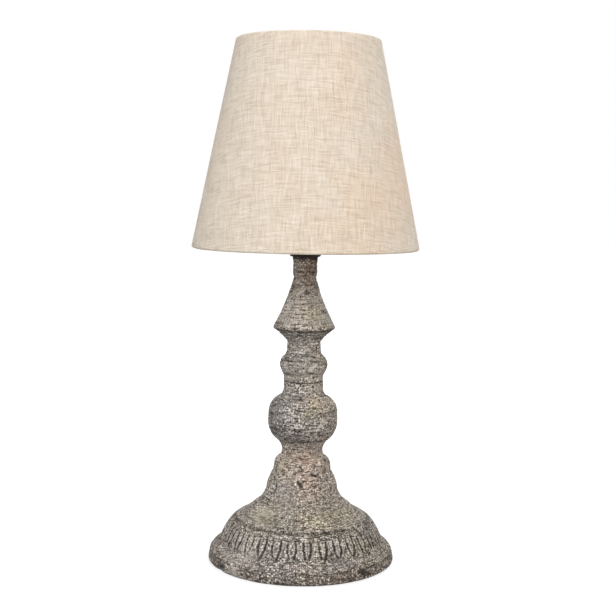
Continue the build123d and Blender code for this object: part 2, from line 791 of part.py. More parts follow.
# Shade. Its section is laid out along the slant from the lower wire, and in from the outer face.
roll_radius = wire_radius + cover_thickness
wire_hole_radius = wire_radius + cover_wire_clearance
lower_wire = Vector(shade_bottom_radius - roll_radius, shade_bottom_z + roll_radius)
upper_wire = Vector(shade_top_radius - roll_radius, shade_bottom_z + shade_height - roll_radius)
slant = (upper_wire - lower_wire).length
along_slant = (upper_wire - lower_wire).normalized()
inwards = Vector(-along_slant.Y, along_slant.X)


def shade_point(along, depth):
    """A point of the shade's section, as a radius and a height."""
    point = lower_wire + along_slant * along + inwards * (depth - roll_radius)
    return (point.X, point.Y)


def shade_band(low, top, outer, inner):
    """A straight strip of the shade's section, drawn in a sketch on the XZ plane."""
    with BuildLine() as edge:
        Polyline(shade_point(low, outer), shade_point(top, outer), shade_point(top, inner),
                 shade_point(low, inner), close=True)
    make_face(edge.edges())


fitter_bottom_z = fitter_z
arm_z = fitter_bottom_z - wire_radius
arm_directions = [arm_first_angle + number * 360 / arm_count for number in range(arm_count)]


def arm_wires(radius):
    """The shade's arms as round wires, from under the fitter ring to the lower wire."""
    bend = arm_inner_radius + arm_level_length
    for direction in arm_directions:
        side = Plane.XZ.rotated((0, 0, direction))
        with BuildLine(side) as route:
            FilletPolyline((arm_inner_radius, arm_z), (bend, arm_z),
                           (lower_wire.X, lower_wire.Y), radius=arm_bend_radius)
        start = Plane(origin=route.line @ 0, z_dir=route.line % 0)
        with BuildSketch(start) as section:
            Circle(radius)
        sweep(section.sketch, path=route.line)


with BuildPart() as arm_notches:
    arm_wires(wire_radius + arm_notch_clearance)

hem_outer = cover_thickness + liner_thickness
with BuildPart() as shade_cover:
    with BuildSketch(Plane.XZ) as cover_section:
        shade_band(0, slant, 0, cover_thickness)
        shade_band(wire_hole_radius, hem_length, hem_outer, hem_outer + cover_thickness)
        shade_band(slant - hem_length, slant - wire_hole_radius, hem_outer,
                   hem_outer + cover_thickness)
        with Locations((lower_wire.X, lower_wire.Y), (upper_wire.X, upper_wire.Y)):
            Circle(roll_radius)
            Circle(wire_hole_radius, mode=Mode.SUBTRACT)
    revolve(cover_section.sketch, axis=Axis.Z)
    add(arm_notches.part, mode=Mode.SUBTRACT)
finish(shade_cover, "shade_cover")

liner_end = math.sqrt(roll_radius ** 2 - (roll_radius - hem_outer) ** 2) + cover_wire_clearance
with BuildPart() as shade_liner:
    with BuildSketch(Plane.XZ) as liner_section:
        shade_band(liner_end, slant - liner_end, cover_thickness, hem_outer)
    revolve(liner_section.sketch, axis=Axis.Z)
finish(shade_liner, "shade_liner")


def wire_hoop(centre):
    """A ring of round wire about Z."""
    with BuildSketch(Plane.XZ) as section:
        with Locations((centre.X, centre.Y)):
            Circle(wire_radius)
    revolve(section.sketch, axis=Axis.Z)


with BuildPart() as shade_bottom_ring:
    wire_hoop(lower_wire)
finish(shade_bottom_ring, "shade_bottom_ring")

with BuildPart() as shade_top_ring:
    wire_hoop(upper_wire)
finish(shade_top_ring, "shade_top_ring")

with BuildPart() as shade_arms:
    arm_wires(wire_radius)
    add(shade_bottom_ring.part, mode=Mode.SUBTRACT)
    kept_arms = shade_arms.solids().sort_by(SortBy.VOLUME)[-arm_count:]
    add(kept_arms, mode=Mode.INTERSECT)
finish(shade_arms, "shade_arms")

with BuildPart() as shade_fitter_ring:
    ring(fitter_inner_radius, fitter_outer_radius, fitter_bottom_z, fitter_thickness)
finish(shade_fitter_ring, "shade_fitter_ring")

# Bulb. Its heights are counted from the tip of the lampholder's centre contact.
bulb_contact_z = contact_tip_z + bulb_contact_gap
bulb_insulator_z = bulb_contact_z + bulb_contact_height
bulb_thread_z = bulb_insulator_z + bulb_insulator_height
bulb_collar_z = bulb_thread_z + bulb_thread_turns * bulb_thread_pitch
bulb_flare_z = bulb_collar_z + bulb_collar_height
bulb_cap_top_z = bulb_flare_z + bulb_flare_height
with BuildPart() as bulb_contact:
    turned([(bulb_contact_radius * 3 / 4, bulb_contact_z, 0),
            (bulb_contact_radius, bulb_contact_z + bulb_contact_height / 2, 0),
            (bulb_contact_radius, bulb_insulator_z, 0)])
finish(bulb_contact, "bulb_contact")

cap_root_radius = bulb_thread_radius - bulb_thread_depth
with BuildPart() as bulb_insulator:
    turned([(bulb_contact_radius + bulb_cap_wall, bulb_insulator_z, 0),
            (cap_root_radius - bulb_insulator_inset, bulb_thread_z, bulb_insulator_height / 6)])
finish(bulb_insulator, "bulb_insulator")

cap_bore_radius = cap_root_radius - bulb_cap_wall
cap_stops = [(cap_root_radius, bulb_thread_z, 0)]
for turn in range(bulb_thread_turns):
    turn_z = bulb_thread_z + turn * bulb_thread_pitch
    cap_stops.append((cap_root_radius, turn_z + bulb_thread_pitch, bulb_thread_depth))
cap_stops.append((cap_root_radius, bulb_flare_z, 0))
cap_stops.append((bulb_flare_radius, bulb_cap_top_z, 0))
bulb_neck_radius = bulb_flare_radius - bulb_cap_wall - bulb_glass_clearance
with BuildPart() as bulb_cap:
    turned(cap_stops)
    turned([(cap_bore_radius, bulb_thread_z, 0),
            (cap_bore_radius, bulb_flare_z, 0),
            (bulb_neck_radius + bulb_glass_clearance, bulb_cap_top_z, 0)], mode=Mode.SUBTRACT)
finish(bulb_cap, "bulb_cap")

glass_bottom_z = bulb_cap_top_z
belly_z = glass_bottom_z + bulb_belly_height
taper_z = belly_z + bulb_taper_height
tip_z = taper_z + bulb_tip_height


def glass_stops(inset):
    """The bulb's outline, set in by the given thickness."""
    return [
        (bulb_neck_radius - inset, glass_bottom_z, 0),
        (bulb_radius - inset, belly_z, bulb_belly_swell),
        (bulb_taper_radius - inset, taper_z, bulb_taper_swell),
        (bulb_tip_radius - inset / 2, tip_z - inset, bulb_tip_swell),
    ]


with BuildPart() as bulb_glass:
    turned(glass_stops(0))
    turned(glass_stops(bulb_glass_wall), mode=Mode.SUBTRACT)
finish(bulb_glass, "bulb_glass")

stem_base_radius = bulb_neck_radius - bulb_glass_wall
stem_cone_z = glass_bottom_z + stem_foot_height
stem_top_z = stem_cone_z + stem_height
with BuildPart() as bulb_stem:
    turned([(stem_base_radius, glass_bottom_z, 0),
            (stem_base_radius, stem_cone_z, 0),
            (stem_cone_radius, stem_cone_z, 0),
            (stem_radius, stem_cone_z + stem_cone_height, -stem_radius / 3),
            (stem_radius, stem_top_z, 0)])
finish(bulb_stem, "bulb_stem")

filament_z = glass_bottom_z + filament_low
filament_top_z = filament_z + filament_length
with BuildPart() as bulb_filaments:
    with PolarLocations(filament_place, filament_count):
        with Locations((0, 0, filament_z)):
            Cylinder(filament_radius, filament_length,
                     align=(Align.CENTER, Align.CENTER, Align.MIN))
finish(bulb_filaments, "bulb_filaments")

with BuildPart() as filament_leads:
    for hub_z in (filament_z - lead_hub_height, filament_top_z):
        ring(stem_radius, lead_hub_radius, hub_z, lead_hub_height)
        with BuildSketch(Plane.XY.offset(hub_z + lead_hub_height / 2 - lead_radius)) as wires:
            for number in range(filament_count):
                angle = number * 360 / filament_count
                reach = filament_place + filament_radius
                with PolarLocations((reach + stem_radius) / 2, 1, start_angle=angle):
                    Rectangle(reach - stem_radius, 2 * lead_radius)
        extrude(wires.sketch, amount=2 * lead_radius)
        with PolarLocations(filament_place, filament_count):
            with Locations((0, 0, hub_z)):
                Cylinder(lead_radius * 2, lead_hub_height,
                         align=(Align.CENTER, Align.CENTER, Align.MIN))
finish(filament_leads, "filament_leads")

print("overall height", round(shade_bottom_z + shade_height, 2))
print("stem height", round(neck_top_z, 2))
print("shade bottom", round(shade_bottom_z, 2), "slant of the fabric", round(slant, 2))
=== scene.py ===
import math

import bpy
import numpy as np
from mathutils import Matrix, Vector


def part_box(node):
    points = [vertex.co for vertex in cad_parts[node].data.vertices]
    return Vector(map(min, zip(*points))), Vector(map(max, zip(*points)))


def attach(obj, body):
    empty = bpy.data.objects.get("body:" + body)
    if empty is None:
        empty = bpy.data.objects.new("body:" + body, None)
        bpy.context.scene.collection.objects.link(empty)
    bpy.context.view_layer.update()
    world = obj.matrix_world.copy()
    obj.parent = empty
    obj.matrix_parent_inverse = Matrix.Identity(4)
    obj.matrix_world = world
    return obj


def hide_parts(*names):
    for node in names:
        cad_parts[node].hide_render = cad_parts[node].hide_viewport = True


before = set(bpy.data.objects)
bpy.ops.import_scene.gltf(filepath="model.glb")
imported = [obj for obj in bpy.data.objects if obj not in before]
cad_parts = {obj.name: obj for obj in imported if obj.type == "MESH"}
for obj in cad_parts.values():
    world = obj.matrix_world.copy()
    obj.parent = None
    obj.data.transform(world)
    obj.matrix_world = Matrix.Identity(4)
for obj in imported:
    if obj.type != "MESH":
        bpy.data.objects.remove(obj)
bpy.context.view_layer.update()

MM = 0.001


def add_object(name, data):
    """Adds an object that holds the data to the scene."""
    made = bpy.data.objects.new(name, data)
    bpy.context.scene.collection.objects.link(made)
    return made


# Camera, level with the shade's lower third and pitched a little down
camera_data = bpy.data.cameras.new("camera")
camera_data.lens = 70.0
camera_data.sensor_width = 36.0
camera_data.clip_start = 0.05
camera_data.clip_end = 50.0
camera = add_object("camera", camera_data)
tilt = Matrix.Rotation(math.radians(90 - 5.615), 3, "X")
roll = Matrix.Rotation(0.0163, 3, "Z")
camera.rotation_euler = (tilt @ roll).to_euler()
camera.location = (0.0032, -1.1088, 0.3471)
bpy.context.scene.camera = camera
bpy.context.scene.view_settings.view_transform = "Standard"

# Outlines of the castings in millimetres: radius, height, and the swell of the stretch before
FOOT_LOW = [
    (84.6, 0.5, 0), (87.3, 3.2, 0.8), (85.85, 10.3, 0), (84.4, 12.5, 0.36),
    (83.4, 13.15, 0), (83.9, 13.8, 0), (76.3, 20.4, -0.3), (64.5, 40.0, 1.2),
    (62.9, 40.5, 0), (61.6, 42.0, -0.33),
]
FOOT_HIGH = [
    (61.6, 42.0, 0), (44.8, 53.6, -0.9), (33.6, 67.6, -1.7), (26.7, 85.9, 1.2),
    (26.9, 87.3, 0), (25.9, 94.3, 0), (20.3, 99.7, 0.68), (20.3, 110.1, -1.2),
]
FOOT_INSIDE = [
    (16.3, 110.1), (16.3, 112.1), (5.15, 112.1), (5.15, 96.1), (20.5, 96.1), (23.5, 85.9),
    (30.4, 66.0), (43.6, 50.4), (61.3, 36.8), (73.7, 20.4), (80.5, 10.9), (80.5, 3.2),
    (83.0, 3.2), (83.0, 0.5),
]
BALL = [
    (20.3, 110.1, 0), (22.8, 114.1, 0), (32.5, 131.1, 2.4), (31.9, 144.1, 0.35),
    (21.9, 156.1, 2.0), (18.5, 162.1, -0.6), (18.5, 169.5, 0), (17.9, 170.1, 0),
]
BALL_INSIDE = [
    (14.5, 170.1), (14.5, 172.1), (5.15, 172.1), (5.15, 162.1), (15.3, 162.1), (18.7, 154.5),
    (28.7, 144.1), (29.3, 131.1), (16.45, 113.7), (16.45, 110.1),
]
SPOOL = [
    (17.9, 170.1, 0), (18.5, 170.7, 0), (18.5, 175.1, 0), (20.2, 178.7, 0), (21.5, 190.3, 1.45),
    (20.2, 190.9, 0), (20.85, 191.5, 0), (15.9, 198.1, -0.6), (15.6, 207.1, 0),
]
SPOOL_INSIDE = [
    (12.4, 207.1), (12.4, 209.1), (5.15, 209.1), (5.15, 201.1), (12.4, 201.1), (12.7, 198.1),
    (18.3, 188.7), (17.0, 178.7), (14.65, 175.1), (14.65, 170.1),
]
ROOF = [
    (15.6, 207.1, 0), (28.6, 219.4, -0.6), (28.9, 221.2, 0), (10.2, 267.1, -1.6),
]
ROOF_INSIDE = [
    (7.6, 267.1), (7.6, 269.1), (5.15, 269.1), (5.15, 257.1), (11.1, 257.1), (24.6, 220.1),
    (12.55, 209.1), (12.55, 207.1),
]
NECK = [
    (10.2, 267.1, 0), (11.3, 271.7, 0.3), (11.1, 279.1, 0), (12.1, 286.1, -0.25),
]
NECK_INSIDE = [
    (8.5, 286.1), (8.5, 281.7), (5.15, 281.7), (5.15, 269.3), (7.75, 269.3), (7.75, 267.1),
]

# Tongues cut in the foot's band, in degrees and millimetres: how many, the angle of the first, the height
# that their legs run up to, half of the angle between the legs, and how far a leg's raised lips stand from
# its middle
TONGUES = 32
TONGUE_FIRST = -96.3
TONGUE_TOP = 37.0
LEG_SPREAD = 2.9
LIP_AWAY = 1.75

# Heights of the groove above the band and of the step in the rim, in millimetres
BAND_GROOVE = 40.9
RIM_STEP = 10.8

# Soft tints of the coat: degrees right of the front, height, half width, half height, strength
# The soot field holds dirt, pits and dark joints, and in places painted shade, as noted at each table.
TINTS = ("olive", "rust", "grey", "soot_and_shade", "streaks", "smooth")
FOOT_TINTS = {
    "olive": [(50, 27, 13, 7, 0.9), (38, 10, 15, 4, 0.5), (-45, 50, 24, 8, 0.9), (20, 48, 30, 8, 0.8),
              (62, 50, 20, 8, 0.5), (-45, 90, 14, 8, 0.9), (50, 92, 15, 6, 0.6), (160, 50, 40, 9, 0.8),
              (-150, 30, 20, 9, 0.6), (120, 80, 30, 12, 0.5)],
    "rust": [(22, 6, 18, 5, 0.9), (-30, 5, 14, 4, 0.4), (12, 80, 34, 22, 0.9), (5, 101, 40, 8, 0.8),
             (140, 90, 40, 16, 0.6), (-120, 66, 30, 12, 0.5)],
    "grey": [(-40, 26, 26, 8, 0.4), (5, 25, 26, 9, 0.4), (-17, 52, 9, 9, 0.9), (-28, 72, 22, 8, 0.9),
             (110, 20, 40, 12, 0.6), (-130, 92, 30, 12, 0.5)],
    # The soot places 64 degrees right, at 28 and 50 mm, are painted shade on the foot's side away from the
    # light.
    "soot_and_shade": [(64, 28, 24, 14, 0.4), (5, 4, 40, 3.5, 0.42), (-56, 6, 5, 3, 1.0), (40, 9, 5, 3, 1.0),
             (44, 5, 4, 2, 0.9), (-3, 78.5, 3.6, 2.0, 1.0), (0, 76.3, 3, 1.6, 1.0),
             (-7, 80.3, 2.6, 1.3, 0.9), (3, 80, 2.5, 1.5, 0.9), (-5, 73, 7, 4, 0.4),
             (-3, 93, 4.5, 2.2, 1.0), (2, 90.5, 3, 1.6, 0.8), (20, 86, 8, 1.8, 1.0), (26, 84.5, 4, 1.4, 0.8),
             (64, 50, 22, 14, 0.25), (10, 48, 40, 8, 0.1), (62, 97, 9, 2.2, 0.9), (-64, 89, 8, 4, 0.6),
             (50, 86, 10, 5, 0.45), (-48, 69, 5, 2, 0.7),
             (-75, 60, 8, 3, 0.5), (130, 60, 9, 3, 0.6), (-140, 84, 7, 3, 0.6), (180, 100, 9, 2, 0.6)],
    "streaks": [(-20, 63, 30, 6, 0.5), (0, 9, 60, 3, 0.5)],
    "smooth": [(-48, 49, 20, 8, 1.0), (-16, 72, 12, 7, 0.8), (58, 50, 18, 7, 0.7), (-60, 6, 12, 5, 0.7),
               (70, 14, 16, 8, 0.6), (5, 6, 50, 7, 0.8), (0, 25, 50, 10, 0.3), (150, 50, 30, 8, 0.8),
               (-140, 46, 26, 8, 0.8)],
}
BALL_TINTS = {
    "olive": [(25, 151, 20, 8, 0.9), (10, 142, 12, 5, 0.7), (-150, 130, 30, 9, 0.6)],
    "rust": [(38, 118, 14, 5, 0.8), (140, 140, 30, 9, 0.5)],
    "grey": [(-50, 135, 34, 20, 0.8), (60, 132, 24, 12, 0.5), (-5, 160, 40, 8, 0.4)],
    # The soot places at 120 and 125 mm are painted shade on the ball's lower half, under its bulge.
    "soot_and_shade": [(-5, 120, 30, 5, 0.5), (-40, 125, 14, 4, 0.4), (0, 146, 8, 1.4, 0.6), (150, 120, 30, 5, 0.5),
             (12, 133, 8, 3, 0.6), (-8, 128, 7, 2, 0.6), (0, 170.1, 9999, 0.7, 1.0),
             (-6, 147, 5, 1.3, 0.6), (18, 149, 5, 1.2, 0.8)],
    "smooth": [(-52, 134, 24, 16, 1.0), (62, 138, 18, 14, 0.7), (140, 134, 40, 16, 0.8)],
    "streaks": [(-45, 138, 34, 14, 1.0), (40, 128, 20, 8, 0.5), (120, 140, 40, 12, 0.8),
                (-150, 136, 40, 12, 0.7)],
}
SPOOL_TINTS = {
    "olive": [(58, 188, 20, 8, 0.9), (20, 176, 15, 6, 0.5), (-140, 190, 30, 8, 0.5)],
    "rust": [(-70, 186, 14, 6, 0.5)],
    "grey": [(-20, 188, 50, 14, 0.7), (150, 180, 50, 12, 0.6)],
    "smooth": [(-40, 174, 30, 6, 0.8), (50, 196, 30, 8, 0.6), (-60, 186, 24, 6, 0.7)],
    "soot_and_shade": [(0, 170.1, 9999, 0.7, 1.0), (-35, 178, 24, 1.2, 0.7), (-42, 190.4, 20, 0.9, 1.0),
             (15, 197, 10, 1.2, 0.5), (28, 190.4, 22, 0.8, 0.85), (-8, 190.4, 14, 0.7, 0.6),
             (20, 179.3, 14, 1.0, 0.8), (160, 191.5, 40, 1.1, 0.7)],
    "streaks": [(-40, 172, 26, 4, 0.8), (-30, 186, 30, 5, 0.6), (30, 200, 26, 6, 0.5),
                (150, 180, 40, 10, 0.7)],
}
ROOF_TINTS = {
    "olive": [(25, 236, 22, 8, 0.9), (46, 223, 12, 3, 0.8), (-140, 240, 30, 10, 0.6)],
    "rust": [(-26, 233, 12, 6, 0.6), (15, 258, 15, 8, 0.8)],
    "grey": [(-12, 226, 40, 5, 0.5), (150, 230, 50, 12, 0.6)],
    # The soot band at 218.8 mm is a painted shadow under the roof's rim.
    "soot_and_shade": [(-8, 258, 24, 4, 0.45), (20, 254, 14, 4, 0.35), (-46, 259, 18, 6, 0.42),
             (46, 259, 18, 6, 0.36), (0, 218.8, 400, 2.6, 0.75), (14, 239, 6, 1.4, 0.7)],
    "streaks": [(-20, 240, 40, 14, 0.4), (150, 236, 60, 14, 0.5)],
}
NECK_TINTS = {
    "olive": [(-140, 276, 40, 8, 0.4)],
    "rust": [(22, 277, 28, 12, 1.0), (0, 282, 70, 5, 0.8), (150, 276, 40, 10, 0.6)],
    "grey": [(-52, 277, 24, 14, 0.9)],
    # The soot places 28 and 54 degrees right are painted shade on the neck's darker side.
    "soot_and_shade": [(0, 285, 150, 2.2, 0.9), (28, 272, 22, 4, 0.4), (54, 276, 22, 12, 0.52),
             (-10, 272, 14, 2, 0.5), (180, 285, 60, 2.5, 0.8)],
    "streaks": [(0, 274, 400, 9, 0.6)],
}

# The coat's ground colour at heights that are shares of the coated stem's, which is in metres
# Its darker stops at the rim's lower edge, under the ball and under the roof's rim are partly painted shade.
COAT_HEIGHT = 0.29
COAT_GROUND_AND_SHADE = [
    (0.01, (84, 76, 71)), (0.025, (110, 101, 95)), (0.06, (122, 112, 107)), (0.13, (116, 108, 103)),
    (0.17, (146, 138, 128)), (0.30, (164, 152, 143)), (0.37, (160, 147, 137)), (0.41, (132, 125, 119)),
    (0.52, (150, 143, 137)), (0.64, (157, 150, 143)), (0.70, (146, 139, 132)), (0.74, (140, 133, 127)),
    (0.77, (167, 159, 150)), (0.80, (187, 179, 170)), (0.86, (186, 177, 168)), (0.89, (160, 149, 140)),
    (0.93, (174, 154, 138)),
]

# Sizes of the shade in metres. The hem is the part of the fabric that shows inside, and the hem's cloth is
# all that each rolled edge takes up. The lap is the overlap at the back, with the step that it makes.
SHADE_LOW = 0.29315
SHADE_LOW_RADIUS = 0.105
SHADE_TOP_RADIUS = 0.0664
SHADE_HEIGHT = 0.1905
WIRE = 0.0012
CLOTH = 0.0007
FILM = 0.00045
HEM = 0.008
HEM_CLOTH = 0.0135
LAP = 0.009
LAP_RISE = 0.00045


# Shape helpers

def arc_points(start, stop, step):
    """Points from one stop to the next. A stretch with no swell is a straight line. One with a swell is the
    arc of a circle through both ends and through the chord's middle moved out by the swell."""
    (r0, z0), (r1, z1), swell = start[:2], stop[:2], stop[2]
    chord = math.hypot(r1 - r0, z1 - z0)
    t = np.linspace(0, 1, max(2, int(chord / step) + 1))[:, None]
    straight = np.array([r0, z0]) * (1 - t) + np.array([r1, z1]) * t
    if swell == 0:
        return straight
    outwards = np.array([z1 - z0, r0 - r1]) / chord
    radius = (chord * chord / 4 + swell * swell) / (2 * abs(swell))
    across = (t - 0.5) * chord
    rise = np.sqrt(radius * radius - across * across) - (radius - abs(swell))
    return straight + outwards * rise * math.copysign(1, swell)


def run_length(line):
    """The distance along a line to each of its points."""
    return np.concatenate([[0], np.cumsum(np.hypot(*np.diff(line, axis=0).T))])


def walk(line, places):
    """The points of a line that lie at the given distances along it."""
    length = run_length(line)
    return np.stack([np.interp(places, length, line[:, k]) for k in (0, 1)], 1)


def soften(line, spread, reach):
    """Rounds a line's corners by a bell-shaped average over its even steps. The line comes with as many
    spare points at each end as the bell reaches."""
    bell = np.exp(-0.5 * (np.arange(-reach, reach + 1) / spread) ** 2)
    bell /= bell.sum()
    return np.stack([np.convolve(line[:, k], bell, "valid") for k in (0, 1)], 1)


def outline(stops, rounding, rows):
    """An outline through its stops, with corners softened by a bell whose spread is the rounding, then cut
    into rows of even length. Lengths are in millimetres."""
    step = 0.05
    runs = [arc_points(a, b, step)[:-1] for a, b in zip(stops, stops[1:])]
    line = np.vstack(runs + [np.array([stops[-1][:2]])])
    line = walk(line, np.arange(0, run_length(line)[-1], step))
    reach = int(4 * rounding / step)
    before = 2 * line[0] - line[1:reach + 1][::-1]
    after = 2 * line[-1] - line[-reach - 1:-1][::-1]
    line = soften(np.vstack([before, line, after]), rounding / step, reach)
    return walk(line, np.linspace(0, run_length(line)[-1], rows))


def around(columns):
    """Places round the turn, as shares of it."""
    return np.arange(columns) / columns


def soft_noise(turns, along, cells, size, seed):
    """Smooth random values from -1 to 1. Corners of a lattice get random values, with so many cells round
    the turn and one every size along, and the values between are blended by 3t^2 - 2t^3."""
    rows = int(np.ceil(np.ptp(along) / size)) + 3
    lattice = np.random.default_rng(seed).uniform(-1, 1, (rows, cells))
    a = np.asarray(turns) * cells
    b = (np.asarray(along) - np.min(along)) / size
    i = np.floor(a).astype(int)
    k = np.floor(b).astype(int)
    t = a - i
    u = b - k
    t = (t * t * (3 - 2 * t))[None, :]
    u = (u * u * (3 - 2 * u))[:, None]
    left = i % cells
    right = (i + 1) % cells
    low = lattice[k][:, left] * (1 - t) + lattice[k][:, right] * t
    high = lattice[k + 1][:, left] * (1 - t) + lattice[k + 1][:, right] * t
    return low * (1 - u) + high * u


def step_up(value, low, high):
    """0 below low, 1 above high, and 3t^2 - 2t^3 between them."""
    t = np.clip((value - low) / (high - low), 0, 1)
    return t * t * (3 - 2 * t)


def ring_points(radius, height, turns):
    """Radius r and angle a, as a share of the turn, give x = r cos a and y = r sin a."""
    angle = 2 * np.pi * turns
    return np.stack([radius * np.cos(angle), radius * np.sin(angle), height], 2)


def turn_round(profile, turns, relief):
    """Carries a profile round the axis, each point moved out by the relief along the profile's normal."""
    slope = np.gradient(profile, axis=0)
    slope /= np.hypot(*slope.T)[:, None] + 1e-9
    radius = profile[:, :1] + slope[:, 1:] * relief
    height = profile[:, 1:] - slope[:, :1] * relief
    return ring_points(radius, height, turns)


def link_blocks(blocks, starts, one, two):
    """Faces between the last ring of one block and the first ring of another, as four-sided and three-sided
    ones. Where one ring has twice as many points as the other, three triangles fill each pair."""
    n = blocks[one].shape[1]
    m = blocks[two].shape[1]
    a = starts[one] + (blocks[one].shape[0] - 1) * n
    b = starts[two]
    j = np.arange(min(n, m))
    k = (j + 1) % min(n, m)
    if n == m:
        return [np.stack([a + j, a + k, b + k, b + j], 1)], []
    fine, coarse = (a, b) if n > m else (b, a)
    threes = [
        np.stack([fine + 2 * j, fine + 2 * j + 1, coarse + j], 1),
        np.stack([fine + 2 * j + 1, coarse + k, coarse + j], 1),
        np.stack([fine + 2 * j + 1, fine + 2 * k, coarse + k], 1),
    ]
    return [], threes if n > m else [face[:, ::-1] for face in threes]


def rings_to_mesh(name, blocks, joined=True, fields=None):
    """A closed surface from blocks of rings. Each ring is joined to the next by four-sided faces, and each
    block to the next. The last block is joined to the first, or else a fan about its middle closes the
    ring at each end. The fields are values on the blocks' points, kept as attributes of the mesh."""
    starts = np.cumsum([0] + [block.shape[0] * block.shape[1] for block in blocks])
    points = np.vstack([block.reshape(-1, 3) for block in blocks])
    fours = []
    threes = []
    for block, start in zip(blocks, starts):
        rows, columns = block.shape[:2]
        if rows > 1:
            column = np.arange(columns)[None, :]
            row_start = start + np.arange(rows - 1)[:, None] * columns
            left = row_start + column
            right = row_start + (column + 1) % columns
            fours.append(np.stack([left, right, right + columns, left + columns], 2).reshape(-1, 4))
    order = list(range(len(blocks))) + ([0] if joined else [])
    for one, two in zip(order, order[1:]):
        more_fours, more_threes = link_blocks(blocks, starts, one, two)
        fours += more_fours
        threes += more_threes
    if not joined:
        n = blocks[0].shape[1]
        j = np.arange(n)
        k = (j + 1) % n
        middle = np.full(n, len(points))
        last = len(points) - n
        threes += [np.stack([middle, k, j], 1), np.stack([middle + 1, last + j, last + k], 1)]
        points = np.vstack([points, points[:n].mean(0), points[last:].mean(0)])
    mesh = bpy.data.meshes.new(name)
    mesh.from_pydata(points.tolist(), [], [face for group in fours + threes for face in group.tolist()])
    mesh.polygons.foreach_set("use_smooth", np.ones(len(mesh.polygons), bool))
    for label, values in (fields or {}).items():
        layer = mesh.attributes.new(label, "FLOAT", "POINT")
        flat = np.concatenate([value.ravel() for value in values])
        layer.data.foreach_set("value", flat.astype(np.float32))
    mesh.update()
    return add_object(name, mesh)


def thinning(block, count):
    """Single rings with half as many points each time, from a block's last ring down to the count."""
    ring = block[-1:]
    rings = []
    while ring.shape[1] > 2 * count:
        ring = ring[:, ::2]
        rings.append(ring)
    return rings


def widening(inner, count):
    """Single rings with twice as many points each time, up to half of the count, on the circle of the inner
    block's last ring."""
    x, y, z = inner[-1, 0]
    rings = []
    points = inner.shape[1] * 2
    while points < count:
        radius = np.full((1, points), math.hypot(x, y))
        rings.append(ring_points(radius, np.full((1, points), z), around(points)))
        points *= 2
    return rings


def casting(name, outer_blocks, fields, inside, columns=96):
    """A turned casting: its outer blocks, then rings down the bore and the hollow, back to the start. The
    fields are on the outer blocks, and they are 0 inside. Millimetres in, metres out."""
    inner = turn_round(np.array(inside, float), around(columns), np.zeros((len(inside), columns)))
    hidden = thinning(outer_blocks[-1], columns) + [inner] + widening(inner, outer_blocks[0].shape[1])
    nothing = [np.zeros(block.shape[:2]) for block in hidden]
    fields = {label: values + nothing for label, values in fields.items()}
    return rings_to_mesh(name, [block * MM for block in outer_blocks + hidden], fields=fields)


# Surface of the castings

def coat_relief(profile, turns, seed, lines=1.0, waves=1.0):
    """Hand-finished unevenness in millimetres: slow waves, small lumps, and broken lines cut round the
    turn where a fine noise drawn out along the turn passes its threshold. Returns relief and hollows."""
    along = run_length(profile)
    girth = 2 * np.pi * float(np.mean(profile[:, 0]))
    slow = soft_noise(turns, along, 7, 16, seed) * 0.16
    lumps = soft_noise(turns, along, max(8, int(girth / 4.5)), 3.0, seed + 1) * 0.12
    fine = soft_noise(turns, along, max(16, int(girth / 1.6)), 1.2, seed + 2) * 0.08
    strands = soft_noise(turns, along, max(6, int(girth / 13)), 1.5, seed + 3)
    threads = soft_noise(turns, along, max(8, int(girth / 7)), 0.9, seed + 5)
    presence = step_up(soft_noise(turns, along, 6, 7, seed + 4), -0.6, 0.4)
    cuts = np.maximum(step_up(strands, 0.15, 0.6), 0.6 * step_up(threads, 0.3, 0.7)) * presence
    relief = (slow + lumps + fine) * waves - cuts * 0.4 * lines
    fade = step_up(along, 0, 1.2) * (1 - step_up(along, along[-1] - 1.2, along[-1]))
    return relief * fade[:, None], cuts * lines * 0.75


def tint_field(profile, turns, places):
    """A soft field of tint. Each place is an angle right of the front, a height, a half width in degrees, a
    half height in millimetres and a strength, and it fades away from its middle as a bell."""
    total = np.zeros((len(profile), len(turns)))
    for front, height, wide, tall, strength in places:
        away = (turns[None, :] * 360 - 270 - front + 180) % 360 - 180
        total += strength * np.exp(-(away / wide) ** 2 - ((profile[:, 1:] - height) / tall) ** 2)
    return np.clip(total, 0, 1)


def coat_fields(profile, turns, places):
    """The fields that the coat reads on one block: its tints by name, and the distance along the profile in
    metres, which its turned lines follow."""
    fields = {label: tint_field(profile, turns, places.get(label, [])) for label in TINTS}
    length = run_length(profile) + profile[0, 1]
    fields["along"] = np.repeat(length[:, None] * MM, len(turns), 1)
    return fields


def dents(profile, turns, places):
    """Knocks in the surface. Each is a bell-shaped hollow at an angle and a height, with its own size
    and depth, all in degrees and millimetres."""
    total = np.zeros((len(profile), len(turns)))
    along = run_length(profile)
    for angle, height, size, depth in places:
        away = (turns[None, :] * 360 - angle + 180) % 360 - 180
        across = np.radians(away) * profile[:, :1]
        nearest = int(np.argmin(np.abs(profile[:, 1] - height)))
        up = (along - along[nearest])[:, None]
        total += depth * np.exp(-(across ** 2 + up ** 2) / (size * size))
    return total


